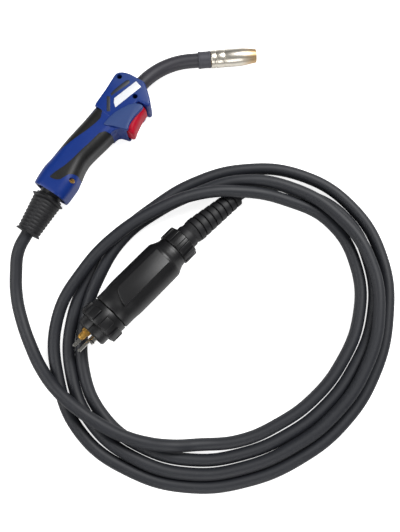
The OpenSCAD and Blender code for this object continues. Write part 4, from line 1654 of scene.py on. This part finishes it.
@dataclass
class Cable:
    """The free cable from the swivel to the clamp in the connector."""

    bench: Bench
    diameter: float = 13.0
    lay: float = 7.0
    # Places along the axes of swivel, boot and connector where the cable's ends lie
    in_swivel: tuple[float, float, float] = (21.0, -20.0, -49.5)
    in_boot: Point2 = (72.0, 35.0)
    in_plug: Point2 = (133.0, 101.0)
    coil: Point2 = (76.0, -213.0)
    step: float = 20.0
    lead_in: tuple = (
        (-137, -141, 17.5), (-140, -164, 12.5), (-139, -190, 8.5), (-133, -214, 7.5),
        (-122, -241, 9), (-107, -267, 15), (-89, -288, 21.5), (-69, -305, 23), (-45, -321, 22),
        (-21, -333, 21), (3, -340, 20), (28, -343, 18),
    )
    # Each turn: the angle of its first point, then the radius and rise of a point every step
    turns: tuple = (
        (260, ((132, 2), (128, 0), (126, 0), (130, 0), (138, 0), (150, 0), (160, 0.4), (162, 1.3),
               (148, 9.5), (137, 19), (132, 24), (130, 26), (136, 25), (150, 15.5), (170, 4))),
        (200, ((179, 0), (185, 0), (180, 0), (174, 0), (168, 0), (166, 0), (169, 0), (174, 0),
               (181, 0), (190, 0), (192, 0), (184, 0), (168, 0), (152, 0), (141, 0), (140, 0),
               (144.5, 0), (154.9, 0))),
        (200, ((164.3, 0), (170, 1), (166.5, 4), (161, 4), (154.5, 4.5), (152, 6), (155, 8.5),
               (161, 11), (168, 13.5), (173, 13.5), (170, 13.5), (162, 13.5), (151, 13.5),
               (137, 10.5), (131, 12.5), (132, 12), (133.5, 9.2), (141.5, 1))),
        (200, ((151, 0), (156.5, 0), (153.5, 0), (147.5, 0), (141.5, 0), (140, 0), (144, 0),
               (152, 0), (165, 0), (175, 0), (178, 0), (165, 0))),
    )
    tail: tuple = ((143, -65, 7.1), (128, -64.5, 7.3), (113, -69, 7.7))

    def build(self, pieces: Sequence[object]) -> None:
        """Args:
            pieces: not used.
        """
        curve = bpy.data.curves.new("torch_cable_look", "CURVE")
        curve.dimensions = "3D"
        curve.bevel_depth = self.diameter / 2 * MM
        curve.bevel_resolution = 9
        curve.resolution_u = 10
        spline = curve.splines.new("BEZIER")
        points = self._route()
        spline.bezier_points.add(len(points) - 1)
        for knot, point in zip(spline.bezier_points, points):
            knot.co = point
            knot.handle_left_type = knot.handle_right_type = "AUTO"
        cable = bpy.data.objects.new("torch_cable_look", curve)
        bpy.context.scene.collection.objects.link(cable)
        cable.data.materials.append(self.bench.palette["cable_jacket"])
        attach(cable, Body.LEAD.value)
        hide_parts("torch_cable")

    def _route(self) -> list[Vector]:
        """Route of the cable's centreline.

        Returns:
            Its points in metres.
        """
        swivel, plug, boot = LAYOUT.rear_boot(), LAYOUT.plug(), LAYOUT.plug_boot()
        route = [swivel @ Vector((x * MM, 0, 0)) for x in self.in_swivel]
        route += [Vector(p) * MM for p in self.lead_in]
        for first, turn in self.turns:
            for k, (radius, rise) in enumerate(turn):
                a = math.radians(first + self.step * k)
                route.append(Vector((self.coil[0] + radius * math.cos(a),
                                     self.coil[1] + radius * math.sin(a),
                                     self.lay + rise)) * MM)
        route += [Vector(p) * MM for p in self.tail]
        route += [boot @ Vector((x * MM, 0, 0)) for x in self.in_boot]
        route += [plug @ Vector((u * MM, 0, 0)) for u in self.in_plug]
        return route

    @staticmethod
    def _length(cable: bpy.types.Object) -> float:
        """Length of the cable's centreline in metres."""
        return cable.data.splines[0].calc_length()


@dataclass
class Dressing:
    """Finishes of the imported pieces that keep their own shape."""

    bench: Bench
    finishes: tuple = (
        ("screw_metal", ("handle_screws",)),
        ("brass", ("neck_fitting", "tip_holder", "power_block", "power_pin")),
        ("nickel", ("gas_pin", "contact_pin_left", "contact_pin_right")),
        ("steel", ("trigger_pin", "trigger_spring", "wire_liner", "nozzle_clip", "pin_springs",
                   "housing_screws")),
        ("copper", ("power_core", "neck_tube", "contact_tip")),
        ("black_plastic", ("switch_body",)),
        ("red_plastic", ("switch_plunger",)),
        ("lead_insulation", ("control_leads",)),
        ("ceramic", ("gas_diffuser",)),
        ("white_plastic", ("cable_clamp",)),
        ("soft_rubber", ("gas_seals",)),
    )

    def build(self, nodes: dict[str, bpy.types.Object]) -> None:
        """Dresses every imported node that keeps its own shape."""
        for finish, names in self.finishes:
            for name in names:
                self.bench.dress(nodes[name], finish)


# ---------------------------------------------------------------------------
# Bench, light and camera
# ---------------------------------------------------------------------------


@dataclass
class Studio:
    """White bench, soft lights and the camera."""

    look_at: Point2 = (57.1, -154.9)
    camera_at: Point3 = (57.1, -272.7, 668.0)
    camera_tilt: float = 10.0
    lens: float = 41.95
    sensor: float = 36.0
    floor_size: float = 8.0
    floor_glow: float = 0.82
    surroundings: float = 0.14
    # Lights: name, place in metres, side in metres and watts
    lights: tuple = (
        ("key_light", (0.75, 0.55, 1.25), 0.9, 26.0),
        ("fill_light", (-0.95, -0.3, 0.95), 0.8, 9.0),
        ("front_light", (0.2, -1.3, 0.7), 0.7, 6.0),
    )

    def build(self) -> None:
        """Builds floor, lights, world and camera."""
        self._floor()
        self._lights()
        self._world()
        self._camera()

    def _floor(self) -> None:
        """Plain white bench that shows as white and keeps a faint shadow."""
        Bench.clear()
        bpy.ops.mesh.primitive_plane_add(
            size=self.floor_size, location=(self.look_at[0] * MM, self.look_at[1] * MM, 0))
        floor = bpy.context.active_object
        floor.name = "bench_top"
        s = Shader("bench_white")
        seen = s.add("LightPath").value("Is Camera Ray")
        grain = s.noise(3.0, 2.0)
        floor.data.materials.append(s.finish(
            base_color=s.mix(grain, (0.80, 0.80, 0.80, 1), (0.82, 0.82, 0.82, 1)),
            roughness=grain * 0.1 + 0.6, specular_ior_level=0.0,
            emission_color=s.mix(seen, (0, 0, 0, 1), (1, 1, 1, 1)),
            emission_strength=self.floor_glow,
        ))

    @staticmethod
    def _area(name: str, at: Point3, aim: Point3, size: float, watts: float) -> None:
        """One square area light.

        Args:
            name: its name.
            at: its place in metres.
            aim: the point that it faces.
            size: its side in metres.
            watts: its power.
        """
        Bench.clear()
        bpy.ops.object.light_add(type="AREA", location=at)
        light = bpy.context.active_object
        light.name = name
        light.data.size = size
        light.data.energy = watts
        light.rotation_euler = (Vector(aim) - Vector(at)).to_track_quat("-Z", "Y").to_euler()

    def _lights(self) -> None:
        """A soft light at the right, and weaker ones at the left and in front."""
        middle = (self.look_at[0] * MM, self.look_at[1] * MM, 0.0)
        for name, at, size, watts in self.lights:
            self._area(name, at, middle, size, watts)

    def _world(self) -> None:
        """Dim, even white surroundings."""
        world = bpy.data.worlds.new("studio")
        bpy.context.scene.world = world
        world.use_nodes = True
        back = world.node_tree.nodes["Background"]
        back.inputs["Color"].default_value = (1, 1, 1, 1)
        back.inputs["Strength"].default_value = self.surroundings

    def _camera(self) -> None:
        """Camera nearly overhead, tilted a little towards the nozzle."""
        Bench.clear()
        bpy.ops.object.camera_add(location=[v * MM for v in self.camera_at],
                                  rotation=(math.radians(self.camera_tilt), 0, 0))
        camera = bpy.context.active_object
        camera.data.sensor_fit = "VERTICAL"
        camera.data.sensor_height = self.sensor
        camera.data.lens = self.lens
        bpy.context.scene.camera = camera
        bpy.context.scene.view_settings.view_transform = "Standard"


def main() -> None:
    """Builds the scene, sub-assembly by sub-assembly."""
    logging.basicConfig(level=logging.INFO, format="%(message)s")
    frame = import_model()
    nodes = frame["nodes"]
    Studio().build()
    bench = Bench(Palette())
    SwanNeck(bench).build()
    Connector(bench).build()
    RearBoot(bench).build()
    far_end = (Body.LEAD.value, Body.CONNECTION_NUT.value, Body.GLAND_NUT.value)
    on_cable = [o for o in bench.made if o["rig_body"] in far_end]
    on_cable += [nodes[n] for n in (
        "power_pin", "gas_pin", "gas_seals", "contact_pin_left", "contact_pin_right",
        "pin_springs", "housing_screws", "cable_clamp", "power_block")]
    Cable(bench).build(on_cable)
    Handle(bench).build()
    Dressing(bench).build(nodes)


if __name__ == "__main__":
    main()
